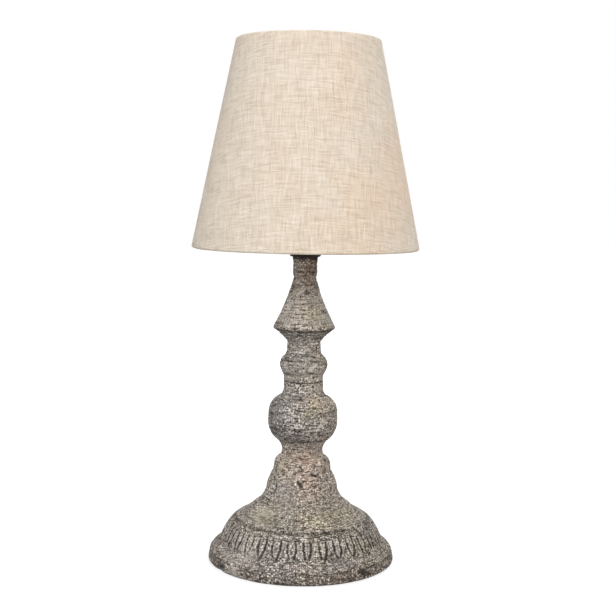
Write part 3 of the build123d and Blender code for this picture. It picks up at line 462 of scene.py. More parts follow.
def tongue_relief(profile, turns, seed):
    """The cut tongues of the foot's band. Each is a pair of legs that run down side by side and close in a
    point. The depth falls off as a bell from the leg's middle line, and every tongue differs a little.
    Returns the depth of the cuts, and the lips that stand up beside them."""
    random = np.random.default_rng(seed)
    depth = random.uniform(0.85, 1.2, TONGUES)
    top = random.uniform(36.6, 39.0, TONGUES)
    tip = random.uniform(18.5, 19.4, TONGUES)
    lean = random.uniform(-0.35, 0.35, TONGUES)
    wide = random.uniform(0.9, 1.08, TONGUES)
    legs = random.uniform(0.45, 1.15, (2, TONGUES))
    legs[1] += 0.12

    # The nearest tongue, and the angle and height from it
    spacing = 360 / TONGUES
    place = (turns * 360 - TONGUE_FIRST) / spacing
    number = np.round(place).astype(int) % TONGUES
    away = ((place - np.round(place)) * spacing)[None, :]
    height = profile[:, 1:]
    above_tip = height - tip[number]

    # Distance from the leg's middle line, square to it
    share = np.clip(above_tip / (TONGUE_TOP - tip[number]), 0, 1)
    half = LEG_SPREAD * wide[number] * np.clip(share / 0.5, 0, 1) ** 0.6
    centre = lean[number] * (1 - share)
    off = np.radians(np.abs(away - centre) - half) * profile[:, :1]
    slant = np.gradient(half, axis=0) * profile[:, :1] * np.pi / 180
    off = off / np.sqrt(1 + (slant / np.gradient(height, axis=0)) ** 2)

    # Strength of the cut along the leg
    broken = 0.85 + 0.4 * soft_noise(turns, profile[:, 1], 260, 2.2, seed + 1)
    thick = 1.15 - 0.3 * step_up(height, 28, 36)
    leg = np.where(away < centre, legs[0][number][None, :], legs[1][number][None, :])
    missing = np.clip(1.2 - leg, 0, 0.6) * 6
    leg = leg * step_up(above_tip, missing - 0.6, missing + 0.8)
    groove = np.exp(-(off / thick) ** 2) * broken * leg
    groove *= 1 - step_up(height, top[number] - 3.0, top[number] + 0.6)
    groove *= 1 - 0.5 * step_up(height, 30, 36)
    groove *= (0.25 + 0.75 * step_up(above_tip, 0.4, 2.6)) * step_up(above_tip, -0.8, 0.3)

    pip = np.exp(-(np.radians(away) * profile[:, :1]) ** 2 - above_tip ** 2)
    pip *= random.uniform(0.2, 1, TONGUES)[number][None, :]
    lips = np.exp(-((np.abs(off) - LIP_AWAY) / 0.6) ** 2)
    lips *= step_up(height, 20, 23) * (1 - step_up(height, 33, 37))
    return (np.clip(groove, 0, 1.2) * 1.15 + pip * 0.6) * depth[number][None, :], lips


# Shader helpers

def srgb(red, green, blue):
    """A colour of 0 to 255 as the eye reads it, turned into the linear values that shaders use."""
    value = np.array([red, green, blue]) / 255
    linear = np.where(value <= 0.04045, value / 12.92, ((value + 0.055) / 1.055) ** 2.4)
    return (*[float(x) for x in linear], 1.0)


def fill(made, inputs):
    """Sets or links a node's inputs."""
    for key, value in inputs.items():
        if isinstance(value, bpy.types.NodeSocket):
            made.id_data.links.new(value, made.inputs[key])
        else:
            made.inputs[key].default_value = value


def node(kind, inputs, tree=None, **settings):
    """Adds a node to the tree that its linked inputs belong to, or to the tree named, gives it its settings,
    fills its inputs and returns its outputs."""
    links = [value for value in inputs.values() if isinstance(value, bpy.types.NodeSocket)]
    made = (tree or links[0].id_data).nodes.new(kind)
    for key, value in settings.items():
        setattr(made, key, value)
    fill(made, inputs)
    return made.outputs


def maths(operation, a, b=0.0, clamp=False):
    """One arithmetic node's result."""
    return node("ShaderNodeMath", {0: a, 1: b}, operation=operation, use_clamp=clamp)[0]


def times(a, b):
    """The product of two values."""
    return maths("MULTIPLY", a, b)


def plus(a, b):
    """The sum of two values."""
    return maths("ADD", a, b)


def minus(a, b):
    """The first value less the second."""
    return maths("SUBTRACT", a, b)


def vector_maths(operation, a, b):
    """One vector node's result."""
    return node("ShaderNodeVectorMath", {0: a, 1: b}, operation=operation)[0]


def between(value, low, high, to_low=0.0, to_high=1.0):
    """Maps a value smoothly from one range to another."""
    ends = {"Value": value, "From Min": low, "From Max": high, "To Min": to_low, "To Max": to_high}
    return node("ShaderNodeMapRange", ends, interpolation_type="SMOOTHSTEP")[0]


def mix(factor, a, b, kind="MIX"):
    """Two colours mixed by a factor."""
    return node("ShaderNodeMix", {0: factor, 6: a, 7: b}, data_type="RGBA", blend_type=kind)[2]


def paint(under, mask, strength, tone):
    """A tone laid over a colour where the mask says, at a strength."""
    return mix(times(mask, strength), under, srgb(*tone))


def ramp(factor, stops):
    """A colour for each value of the factor, blended between stops of a place and a tone."""
    colour = node("ShaderNodeValToRGB", {0: factor})[0]
    band = colour.node.color_ramp
    while len(band.elements) < len(stops):
        band.elements.new(0.5)
    for element, (place, tone) in zip(band.elements, stops):
        element.position = place
        element.color = srgb(*tone)
    return colour


def noise(place, scale, detail, roughness=0.5):
    """A noise, as a value and as a colour."""
    return node("ShaderNodeTexNoise",
                {"Vector": place, "Scale": scale, "Detail": detail, "Roughness": roughness})


def held(tree, label):
    """A field that the mesh holds."""
    return node("ShaderNodeAttribute", {}, tree, attribute_name=label)["Fac"]


# Effects that several materials share

def new_group(name, ins, outs):
    """An empty node group with named sockets, and the sockets inside it that its values come from."""
    group = bpy.data.node_groups.new(name, "ShaderNodeTree")
    for label, kind in ins.items():
        group.interface.new_socket(label, in_out="INPUT", socket_type="NodeSocket" + kind)
    for label in outs:
        group.interface.new_socket(label, in_out="OUTPUT", socket_type="NodeSocketFloat")
    inside = list(group.nodes.new("NodeGroupInput").outputs)[:len(ins)]
    return group, inside, group.nodes.new("NodeGroupOutput").inputs


def use(group, *values):
    """Places a node group in a material, with its own values in the order of its inputs."""
    return node("ShaderNodeGroup", dict(enumerate(values)), node_tree=group)


def make_specks():
    """Random dots: the distance to the nearest of many scattered points, kept only for the points whose own
    random number falls under the share."""
    ins = {"Vector": "Vector", "Scale": "Float", "Size": "Float", "Share": "Float"}
    group, (place, scale, size, share), outs = new_group("specks", ins, ["Mask"])
    cells = node("ShaderNodeTexVoronoi", {"Vector": place, "Scale": scale})
    red = node("ShaderNodeSeparateColor", {0: cells["Color"]})[0]
    near = between(cells["Distance"], size, times(size, 0.55))
    group.links.new(times(near, maths("LESS_THAN", red, share)), outs[0])
    return group


def make_patches():
    """Soft large patches: slow noise between two thresholds."""
    ins = {"Vector": "Vector", "Scale": "Float", "Low": "Float", "High": "Float"}
    group, (place, scale, low, high), outs = new_group("patches", ins, ["Mask"])
    group.links.new(between(noise(place, scale, 3.0, 0.55)[0], low, high), outs[0])
    return group


def make_grain():
    """Fine grain: noise of several sizes, as a value round 0.5."""
    ins = {"Vector": "Vector", "Scale": "Float", "Roughness": "Float"}
    group, (place, scale, roughness), outs = new_group("grain", ins, ["Value"])
    group.links.new(noise(place, scale, 4.0, roughness)[0], outs[0])
    return group


def make_turned_lines():
    """Lines left by turning: noise squeezed along the axis and drawn out across it."""
    ins = {"Vector": "Vector", "Across": "Float", "Along": "Float"}
    group, (place, across, along), outs = new_group("turned_lines", ins, ["Value"])
    stretch = node("ShaderNodeCombineXYZ", {0: across, 1: across, 2: along})[0]
    stretched = vector_maths("MULTIPLY", place, stretch)
    group.links.new(noise(stretched, 1.0, 3.0, 0.6)[0], outs[0])
    return group


def make_yarns():
    """A plain weave on flat coordinates in metres. Each way, a yarn is one pitch wide and round, and its
    tone drifts along it. A checker of the two counts says which yarn lies on top."""
    ins = {"Vector": "Vector", "Pitch": "Float", "Drift": "Float"}
    group, (place, pitch, drift), outs = new_group("yarns", ins, ["Tone", "Height", "Slub"])
    u, v, _ = node("ShaderNodeSeparateXYZ", {0: place})
    u = maths("DIVIDE", u, pitch)
    v = maths("DIVIDE", v, pitch)
    warp_at = node("ShaderNodeCombineXYZ", {0: u, 1: maths("DIVIDE", v, drift), 2: 3.7})
    weft_at = node("ShaderNodeCombineXYZ", {0: maths("DIVIDE", u, drift), 1: v, 2: 11.3})
    warp = noise(warp_at[0], 1.0, 2.0, 0.6)[0]
    weft = noise(weft_at[0], 1.0, 2.0, 0.6)[0]
    over = maths("PINGPONG", plus(maths("FLOOR", u), maths("FLOOR", v)), 1.0)
    under = minus(1.0, over)

    def roundness(count):
        """How far a yarn stands up across its own pitch."""
        return maths("ABSOLUTE", maths("SINE", times(count, math.pi)))

    def on_top(of_warp, of_weft):
        """The value of the yarn that lies on top."""
        return plus(times(of_warp, over), times(of_weft, under))

    group.links.new(on_top(warp, weft), outs[0])
    group.links.new(on_top(roundness(u), roundness(v)), outs[1])
    group.links.new(maths("MINIMUM", plus(warp, 0.045), weft), outs[2])
    return group


SPECKS = make_specks()
PATCHES = make_patches()
GRAIN = make_grain()
TURNED_LINES = make_turned_lines()
YARNS = make_yarns()


# Materials

def empty_tree(owner):
    """The node tree of a material or a world, with nothing in it yet."""
    owner.use_nodes = True
    owner.node_tree.nodes.clear()
    return owner.node_tree


def new_material(name):
    """A material, its main shader, and the Object coordinates that its patterns read."""
    made = bpy.data.materials.new(name)
    tree = empty_tree(made)
    shader = tree.nodes.new("ShaderNodeBsdfPrincipled")
    fill(tree.nodes.new("ShaderNodeOutputMaterial"), {0: shader.outputs[0]})
    place = tree.nodes.new("ShaderNodeTexCoord").outputs["Object"]
    return made, shader, place


def raised(height, distance, strength=1.0):
    """The normal of a surface with a height. The distance is the height's full scale in metres."""
    return node("ShaderNodeBump", {"Height": height, "Distance": distance, "Strength": strength})[0]


def tint(place, label, scale, offset, chance, strength=1.0):
    """Where a tint of the coat lies: at the listed places or in patches by chance, whichever is
    stronger, broken up by finer patches."""
    moved = vector_maths("ADD", place, offset)
    patch = use(PATCHES, moved, scale, 0.5, 0.66)[0]
    both = maths("MAXIMUM", held(place.id_data, label), times(patch, chance))
    break_up = use(PATCHES, moved, 150.0, 0.3, 0.55)[0]
    both = times(both, plus(0.4, times(break_up, 0.6)))
    return maths("MULTIPLY", both, strength, clamp=True)


def weathered_coat():
    """The castings' rough coat: a warm grey ground that changes with height, soft tints at listed places
    and by chance, coarse and fine mottling drawn out along the turn, pale specks, dark pits, and dirt in
    every hollow."""
    made, shader, place = new_material("weathered_coat")
    tree = made.node_tree
    x, y, z = node("ShaderNodeSeparateXYZ", {0: place})
    turned = node("ShaderNodeCombineXYZ", {0: x, 1: y, 2: held(tree, "along")})[0]
    elsewhere = vector_maths("ADD", place, (0.31, 0.17, 0.05))
    colour = ramp(maths("DIVIDE", z, COAT_HEIGHT), COAT_GROUND_AND_SHADE)

    # Mottling, weaker in some patches and where the coat is smooth
    grain = use(GRAIN, place, 640.0, 0.8)[0]
    lines = use(TURNED_LINES, turned, 210.0, 780.0)[0]
    mottle = plus(times(lines, 0.5), times(grain, 0.5))
    strong = plus(0.62, times(use(PATCHES, place, 42.0, 0.36, 0.6)[0], 0.38))
    strong = times(strong, minus(1.0, times(held(tree, "smooth"), 0.6)))
    dark = times(between(mottle, 0.5, 0.425), strong)
    pale = times(between(mottle, 0.505, 0.58), strong)

    # Long streaks, specks in clusters, small specks, pits and ragged blots
    long_lines = use(TURNED_LINES, turned, 42.0, 520.0)[0]
    streaks = times(between(long_lines, 0.47, 0.39), held(tree, "streaks"))
    cluster = plus(0.45, times(use(PATCHES, elsewhere, 60.0, 0.42, 0.58)[0], 0.55))
    pale_specks = times(use(SPECKS, place, 560.0, 0.6, 0.32)[0], cluster)
    small_specks = use(SPECKS, elsewhere, 1100.0, 0.5, 0.25)[0]
    pits = use(SPECKS, elsewhere, 520.0, 0.5, 0.26)[0]
    blots = times(use(SPECKS, place, 170.0, 0.2, 0.24)[0], between(grain, 0.38, 0.5))
    for mask, strength, tone in [
            (dark, 0.98, (54, 47, 43)),
            (pale, 0.95, (229, 219, 207)),
            (streaks, 0.8, (56, 51, 50)),
            (pits, 0.85, (50, 43, 38)),
            (blots, 0.8, (46, 40, 37)),
            (pale_specks, 0.95, (246, 239, 228)),
            (small_specks, 0.6, (240, 233, 221))]:
        colour = paint(colour, mask, strength, tone)

    # Soft tints, as factors of the colour
    for label, scale, offset, chance, factor in [
            ("olive", 19.0, (0.0, 0.0, 0.0), 0.4, (1.0, 0.98, 0.82, 1)),
            ("rust", 16.0, (0.31, 0.17, 0.05), 0.4, (1.04, 0.925, 0.855, 1)),
            ("grey", 24.0, (0.07, 0.43, 0.2), 0.45, (0.88, 0.92, 0.98, 1))]:
        colour = mix(tint(place, label, scale, offset, chance), colour, factor, "MULTIPLY")

    # Dirt in the hollows, ragged spots of soot and of painted shade, and pale wear, painted highlights and
    # painted light where the field is below 0
    hollow = held(tree, "hollow")
    ragged = times(minus(0.5, grain), 1.6)
    spots = between(plus(held(tree, "soot_and_shade"), ragged), 0.45, 0.8)
    soot_and_shade = maths("MAXIMUM", tint(place, "soot_and_shade", 40.0, (0.5, 0.1, 0.3), 0.3, 0.9), hollow)
    colour = paint(colour, maths("MAXIMUM", soot_and_shade, spots), 0.9, (46, 40, 36))
    # Where the field is below 0 the coat is painted pale: chipped places and wear, painted highlights on the
    # foot's lips, and painted light in soft patches.
    wear_and_highlights = maths("MULTIPLY", hollow, -1.0, clamp=True)
    colour = mix(wear_and_highlights, colour, srgb(226, 218, 207))
    colour = mix(between(wear_and_highlights, 0.55, 0.85), colour, srgb(254, 250, 243))

    height = plus(mottle, times(pale_specks, 0.2))
    height = minus(height, times(pits, 0.4))
    height = minus(height, times(streaks, 0.2))
    fill(shader, {
        "Base Color": colour,
        "Roughness": between(grain, 0.3, 0.7, 0.95, 0.72),
        "Specular IOR Level": 0.12,
        "Normal": raised(height, 0.0011, 0.9)})
    return made


def linen():
    """The shade's fabric, woven on the flat sheet that the cone was rolled from: a fine weave whose lines
    wander a little, darker slubs, warm patches that grow stronger to the right, where they are painted warm
    light, and shade between the yarns."""
    made, shader, place = new_material("shade_linen")
    flat = node("ShaderNodeUVMap", {}, made.node_tree, uv_map="flat_sheet")[0]
    wander = vector_maths("SUBTRACT", noise(flat, 60.0, 2.0)[1], (0.5, 0.5, 0.5))
    wander = node("ShaderNodeVectorMath", {0: wander, "Scale": 0.004}, operation="SCALE")[0]
    flat = vector_maths("ADD", flat, wander)
    tone, height, _ = use(YARNS, flat, 0.00092, 16.0)
    colour = ramp(tone, [
        (0.30, (197, 181, 160)), (0.44, (222, 209, 191)), (0.56, (234, 223, 208)), (0.70, (247, 240, 229))])
    slub = between(use(YARNS, flat, 0.0016, 11.0)[2], 0.42, 0.30)
    colour = paint(colour, slub, 0.4, (198, 178, 154))
    # Warm patches, stronger to the right: painted warm light on that side.
    right = between(node("ShaderNodeSeparateXYZ", {0: place})[0], -0.02, 0.09)
    patch = use(PATCHES, place, 16.0, 0.36, 0.66)[0]
    warm = times(patch, plus(0.15, times(right, 0.85)))
    colour = mix(warm, colour, (1.04, 0.955, 0.895, 1), "MULTIPLY")
    colour = paint(colour, between(height, 0.45, 0.0), 0.3, (190, 172, 148))
    fill(shader, {
        "Base Color": colour,
        "Roughness": 0.88,
        "Specular IOR Level": 0.25,
        "Sheen Weight": 0.15,
        "Sheen Roughness": 0.5,
        "Diffuse Roughness": 0.35,
        "Normal": raised(plus(height, times(tone, 0.8)), 0.00022, 0.8)})
    return made


def backing_film():
    """The film inside the shade: the fabric's weave seen through it, paler and smoother."""
    made, shader, place = new_material("shade_film")
    across = vector_maths("MULTIPLY", place, (9.0, 9.0, 1.0))
    tone, height, _ = use(YARNS, across, 0.0012, 16.0)
    fill(shader, {
        "Base Color": ramp(tone, [(0.35, (226, 217, 202)), (0.65, (243, 239, 231))]),
        "Roughness": 0.42,
        "Normal": raised(height, 0.00002, 0.5)})
    return made


def felt():
    """Pressed wool under the foot: short fibres in two greys and a soft nap."""
    made, shader, place = new_material("pressed_felt")
    fibres = use(GRAIN, place, 1500.0, 0.8)[0]
    clumps = use(PATCHES, place, 240.0, 0.4, 0.65)[0]
    colour = ramp(fibres, [(0.35, (38, 37, 36)), (0.65, (74, 72, 70))])
    fill(shader, {
        "Base Color": paint(colour, clumps, 0.3, (56, 55, 54)),
        "Roughness": 0.95,
        "Sheen Weight": 0.4,
        "Normal": raised(fibres, 0.0004)})
    return made


def plain_finish(name, tone, other, scale=900.0, rough=(0.4, 0.55), metal=0.0, depth=0.00004,
                 lines=None, specular=0.5):
    """A finish that is even from afar: two close tones mixed by fine grain, with roughness and relief
    that follow the same grain. With lines, the grain is drawn out round the axis, as turning leaves it."""
    made, shader, place = new_material(name)
    if lines:
        grain = use(TURNED_LINES, place, *lines)[0]
    else:
        grain = use(GRAIN, place, scale, 0.6)[0]
    smudge = use(PATCHES, place, 70.0, 0.4, 0.7)[0]
    fill(shader, {
        "Base Color": ramp(grain, [(0.36, tone), (0.64, other)]),
        "Roughness": plus(between(grain, 0.35, 0.65, *rough), times(smudge, 0.08)),
        "Metallic": metal,
        "Specular IOR Level": specular,
        "Normal": raised(grain, depth)})
    return made


def fibreboard():
    """Brown pressed board: coarse flecks of two browns over a fine grain."""
    made, shader, place = new_material("pressed_board")
    grain = use(GRAIN, place, 700.0, 0.7)[0]
    flecks = use(SPECKS, place, 420.0, 0.5, 0.35)[0]
    colour = ramp(grain, [(0.35, (92, 66, 44)), (0.65, (132, 99, 68))])
    fill(shader, {
        "Base Color": paint(colour, flecks, 0.4, (150, 118, 84)),
        "Roughness": 0.72,
        "Normal": raised(grain, 0.00015)})
    return made


def clear_glass(name, tone, rough):
    """Clear blown glass with a slight waviness."""
    made, shader, place = new_material(name)
    fill(shader, {
        "Base Color": srgb(*tone),
        "Roughness": rough,
        "IOR": 1.46,
        "Transmission Weight": 1.0,
        "Normal": raised(noise(place, 55.0, 1.0)[0], 0.0003, 0.4)})
    return made


COAT = weathered_coat()
LINEN = linen()
FILM_BACKING = backing_film()
FELT = felt()
BOARD = fibreboard()
GLASS = clear_glass("bulb_clear_glass", (236, 240, 241), 0.0)
STEM_GLASS = clear_glass("stem_glass", (244, 248, 248), 0.04)
BLACK_PLASTIC = plain_finish("black_holder_plastic", (38, 28, 20), (56, 43, 32), 1400.0, (0.45, 0.58),
                             specular=0.15)
STEATITE = plain_finish("white_insulator", (222, 216, 204), (236, 231, 221), 1100.0, (0.25, 0.4))
NYLON = plain_finish("white_nylon", (220, 219, 214), (235, 234, 230), rough=(0.45, 0.6))
RUBBER = plain_finish("black_rubber", (22, 22, 22), (36, 35, 35), 1600.0, (0.7, 0.85), depth=0.00008)
ZINC = plain_finish("zinc_steel", (168, 168, 164), (200, 199, 192), rough=(0.25, 0.42), metal=1.0,
                    lines=(160.0, 2400.0))
BRASS = plain_finish("contact_brass", (196, 158, 84), (222, 187, 112), 700.0, (0.2, 0.34), metal=1.0)
WHITE_WIRE = plain_finish("white_powder_coat", (224, 223, 218), (240, 239, 234), 1500.0, (0.4, 0.5),
                          depth=0.00006)
NICKEL = plain_finish("bulb_nickel", (182, 180, 174), (212, 210, 203), rough=(0.18, 0.3), metal=1.0,
                      lines=(120.0, 2600.0))
VITRITE = plain_finish("dark_vitrite", (20, 15, 26), (38, 30, 46), 800.0, (0.1, 0.2))
PHOSPHOR = plain_finish("yellow_phosphor", (226, 170, 46), (244, 196, 82), 2200.0, (0.5, 0.65))

# Pieces whose own shape stays, and the finish of each
for finish, node_names in [
        (BOARD, ["base_plate"]),
        (RUBBER, ["cable_grommet"]),
        (NYLON, ["tube_bush"]),
        (ZINC, ["threaded_tube", "bottom_washer", "lock_washer", "bottom_nut", "top_nut",
                "holder_grub_screw", "filament_leads"]),
        (BLACK_PLASTIC, ["holder_cap", "holder_shell", "shade_ring_nut"]),
        (STEATITE, ["holder_insert"]),
        (BRASS, ["centre_contact", "side_contact", "terminal_screws"]),
        (WHITE_WIRE, ["shade_fitter_ring", "shade_arms", "shade_bottom_ring", "shade_top_ring"]),
        (FILM_BACKING, ["shade_liner"]),
        (GLASS, ["bulb_glass"]),
        (NICKEL, ["bulb_cap", "bulb_contact"]),
        (VITRITE, ["bulb_insulator"]),
        (STEM_GLASS, ["bulb_stem"]),
        (PHOSPHOR, ["bulb_filaments"])]:
    for node_name in node_names:
        for material_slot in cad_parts[node_name].material_slots:
            material_slot.material = finish


def dress(piece, finish, body, node_name):
    """Gives a piece its material in a slot and its body, and hides the CAD node that it stands for."""
    piece.data.materials.append(finish)
    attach(piece, body)
    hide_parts(node_name)
    return piece


# Castings

def turned_block(profile, turns, seed, lines, tints, knocks, chips_and_lit_patches):
    """A block of rings and its fields: the profile carried round with the coat's relief and the knocks.
    The field of hollows holds what is cut and knocked, and is below 0 where the paint is chipped and on soft
    patches of painted light."""
    relief, hollow = coat_relief(profile, turns, seed, lines)
    knocked = dents(profile, turns, knocks)
    fields = coat_fields(profile, turns, tints)
    fields["hollow"] = np.clip(hollow + knocked * 0.9, 0, 1) - np.clip(dents(profile, turns, chips_and_lit_patches), 0, 1)
    return turn_round(profile, turns, relief - knocked), fields


def make_turned(name, stops, inside, rows, columns, rounding, **finish):
    """A casting of one block of rings."""
    block, fields = turned_block(outline(stops, rounding, rows), around(columns), **finish)
    return casting(name, [block], {label: [field] for label, field in fields.items()}, inside)


def make_foot():
    """The foot in two blocks of rings: the rim and the band with its tongues, finely divided, and the bell
    above the ring groove with half as many points round."""
    columns = 768
    turns = around(columns)
    low = outline(FOOT_LOW, 0.4, 70)
    relief, hollow = coat_relief(low, turns, 11, 0.5, 0.9)
    tongues, lips = tongue_relief(low, turns, 5)
    knocked = dents(low, turns, [
        (212, 3.5, 4.5, 1.3), (236, 9, 2.2, 0.5), (301, 6, 3.0, 0.7), (318, 8, 2.4, 0.6), (20, 5, 3.6, 0.9),
        (96, 9, 3.0, 0.8), (150, 4, 4.0, 1.0)])
    # Soft pale patches on the rim and band: painted light where more of it falls.
    lit_patches = dents(low, turns, [(226, 24, 20, 0.14), (226, 7, 13, 0.28), (330, 9, 6, 0.1)])
    ragged = np.clip(0.6 + 0.6 * soft_noise(turns, low[:, 1], 90, 9, 6), 0.2, 1)
    groove = np.exp(-((low[:, 1:] - BAND_GROOVE) / 1.0) ** 2) * ragged
    step_line = np.exp(-((low[:, 1:] - RIM_STEP) / 0.75) ** 2) * ragged * 0.85
    dirt = np.clip(hollow + tongues * 1.75 + groove + step_line + knocked * 0.4, 0, 1)
    low_block = turn_round(low, turns, relief - tongues + lips * 0.12 - groove * 0.4 - knocked)
    low_fields = coat_fields(low, turns, FOOT_TINTS)
    # Below 0 the field is painted pale: the lips beside the cuts as painted highlights, and the soft patches
    # as painted light.
    low_fields["hollow"] = dirt - lips * 0.5 - lit_patches
    high_block, high_fields = turned_block(
        outline(FOOT_HIGH, 0.45, 112), around(columns // 2), 23, 0.6, FOOT_TINTS,
        [(267, 78, 1.6, 0.9), (271, 80.5, 1.0, 0.7), (263, 76, 1.1, 0.6), (266, 93, 1.5, 0.7),
         (287, 87, 1.2, 0.5), (240, 62, 1.4, 0.4), (100, 70, 2.0, 0.7), (170, 58, 1.8, 0.6),
         (30, 90, 1.3, 0.6)],
        [(260, 82, 0.9, 1.5), (259.5, 78.5, 0.9, 1.5), (263, 76, 0.8, 1.4), (265.5, 82.5, 0.7, 1.3),
         (272.5, 82.5, 0.8, 1.4), (275, 79, 0.9, 1.5), (276, 75.5, 0.8, 1.3), (262, 94.5, 0.7, 1.2),
         (271.5, 93, 0.7, 1.2), (284, 87.5, 0.7, 1.2), (293, 83, 0.7, 1.2), (250, 88, 0.8, 1.2),
         # The last place, soft and wide, is a pale patch of painted light on the bell.
         (222, 49, 15, 0.31)])
    high_fields["along"] += low_fields["along"][-1, 0] - high_fields["along"][0, 0]
    fields = {label: [low_fields[label], high_fields[label][1:]] for label in low_fields}
    return casting("foot_casting_dressed", [low_block, high_block[1:]], fields, FOOT_INSIDE)


dress(make_foot(), COAT, "lamp_base", "foot_casting")

for node_name, form in {
    "ball_casting": {
        "stops": BALL, "inside": BALL_INSIDE, "rows": 190, "columns": 384, "rounding": 0.4,
        "seed": 37, "lines": 1.15, "tints": BALL_TINTS,
        "knocks": [(262, 146, 1.4, 0.7), (266, 127, 1.2, 0.6), (300, 124, 1.6, 0.6), (80, 140, 1.8, 0.7)],
        "chips_and_lit_patches": [(268, 133, 0.7, 1.2), (276, 135, 0.7, 1.2), (282, 131, 0.7, 1.2), (290, 136, 0.6, 1.2),
                  (272, 127, 0.7, 1.2), (296, 129, 0.7, 1.2), (285, 141, 0.7, 1.1), (250, 128, 0.6, 1.1),
                  (262, 131, 0.6, 1.1), (100, 134, 0.7, 1.2)],
    },
    "spool_casting": {
        "stops": SPOOL, "inside": SPOOL_INSIDE, "rows": 130, "columns": 384, "rounding": 0.32,
        "seed": 53, "lines": 0.9, "tints": SPOOL_TINTS,
        "knocks": [(268, 184, 1.0, 0.5), (255, 172, 1.1, 0.4), (120, 195, 1.3, 0.5)],
        # A soft pale patch of painted light on the spool's front.
        "chips_and_lit_patches": [(272, 186, 10, 0.16)],
    },
    "roof_casting": {
        "stops": ROOF, "inside": ROOF_INSIDE, "rows": 150, "columns": 384, "rounding": 0.35,
        "seed": 71, "lines": 0.9, "tints": ROOF_TINTS,
        "knocks": [(268, 232, 1.0, 0.6), (275, 226, 0.9, 0.5), (90, 236, 1.4, 0.5)],
        # Soft pale patches of painted light on the roof.
        "chips_and_lit_patches": [(308, 234, 9, 0.11), (234, 234, 9, 0.08), (240, 245, 8, 0.16)],
    },
    "neck_collar": {
        "stops": NECK, "inside": NECK_INSIDE, "rows": 56, "columns": 192, "rounding": 0.3,
        "seed": 89, "lines": 0.7, "tints": NECK_TINTS,
        "knocks": [(280, 283, 0.9, 0.4)],
        # The first place is a soft pale patch of painted light, and the rest are chipped spots.
        "chips_and_lit_patches": [(236, 277, 6, 0.12), (246, 281, 0.6, 1.3), (254, 279, 0.6, 1.3), (246, 277, 0.6, 1.3),
                  (262, 281, 0.6, 1.3), (262, 276, 0.6, 1.3), (255, 274.5, 0.5, 1.2), (283, 284, 0.7, 1.3),
                  (270, 279, 0.5, 1.2)],
    },
}.items():
    dress(make_turned(node_name + "_dressed", **form), COAT, "lamp_base", node_name)


# Shade

def sheet_path(step):
    """The fabric's own line in the shade's section, in metres: from the lower hem's free end round the
    lower wire, up the outer face, round the upper wire and down the upper hem. Each place on it is first a
    distance along the slant and a depth in from the outer face. Returns the section in even steps, closer
    at the edges, the distances along it and its length."""
    roll_radius = WIRE + CLOTH
    low = np.array([SHADE_LOW_RADIUS - roll_radius, SHADE_LOW + roll_radius])
    top = np.array([SHADE_TOP_RADIUS - roll_radius, SHADE_LOW + SHADE_HEIGHT - roll_radius])
    slant = float(np.hypot(*(top - low)))
    along = (top - low) / slant
    inwards = np.array([-along[1], along[0]])
    round_wire = WIRE + CLOTH / 2
    hem_depth = CLOTH * 1.5 + FILM

    def around_wire(centre, first, last):
        """An arc round a wire's middle, between two angles in degrees."""
        angle = np.radians(np.linspace(first, last, 40))
        return np.stack([centre + round_wire * np.sin(angle), roll_radius - round_wire * np.cos(angle)], 1)

    line = np.vstack([
        [[HEM, hem_depth], [round_wire * 1.5, hem_depth]],
        around_wire(0.0, 50, -180),
        around_wire(0.0, -180, -360),
        [[slant * share, CLOTH / 2] for share in (0.25, 0.5, 0.75)],
        around_wire(slant, 0, 180),
        around_wire(slant, 180, 310),
        [[slant - round_wire * 1.5, hem_depth], [slant - HEM, hem_depth]],
    ])
    even_step = 0.00005
    reach = 20
    edge_zone = 0.022
    edge_rows = 30
    line = walk(line, np.arange(0, run_length(line)[-1], even_step))
    line = np.vstack([np.repeat(line[:1], reach, 0), line, np.repeat(line[-1:], reach, 0)])
    line = soften(line, 6.0, reach)
    total = run_length(line)[-1]
    tight = np.linspace(0, edge_zone, edge_rows)
    middle = np.linspace(edge_zone, total - edge_zone, int((total - 2 * edge_zone) / step))
    places = np.concatenate([tight[:-1], middle, total - tight[::-1][1:]])
    line = walk(line, places)
    section = low + np.outer(line[:, 0], along) + np.outer(line[:, 1] - roll_radius, inwards)
    return section, places, total


def lay_flat(mesh, columns, from_point, sine):
    """Gives the cloth its flat coordinates, those of the cone's sector: the angle round the axis times the
    cone's sine, at each ring's distance from the cone's point. The sector is cut at the back, and a face
    that crosses the cut stays on one side of it."""
    corner = np.zeros(len(mesh.loops), np.int64)
    mesh.loops.foreach_get("vertex_index", corner)
    column = (corner % columns).reshape(-1, 4)
    wrapped = np.ptp(column, axis=1) > columns / 2
    column = column + np.where(wrapped[:, None] & (column < columns / 2), columns, 0)
    share = column / columns - 0.25
    middle = share.mean(1)
    lift = np.where(middle < 0, 1.0, np.where(middle > 1, -1.0, 0.0))
    bend = (share + lift[:, None] - 0.5).ravel() * 2 * np.pi * sine
    distance = from_point[corner // columns]
    flat = np.stack([distance * np.sin(bend), -distance * np.cos(bend)], 1)
    mesh.uv_layers.new(name="flat_sheet").data.foreach_set("uv", flat.astype(np.float32).ravel())


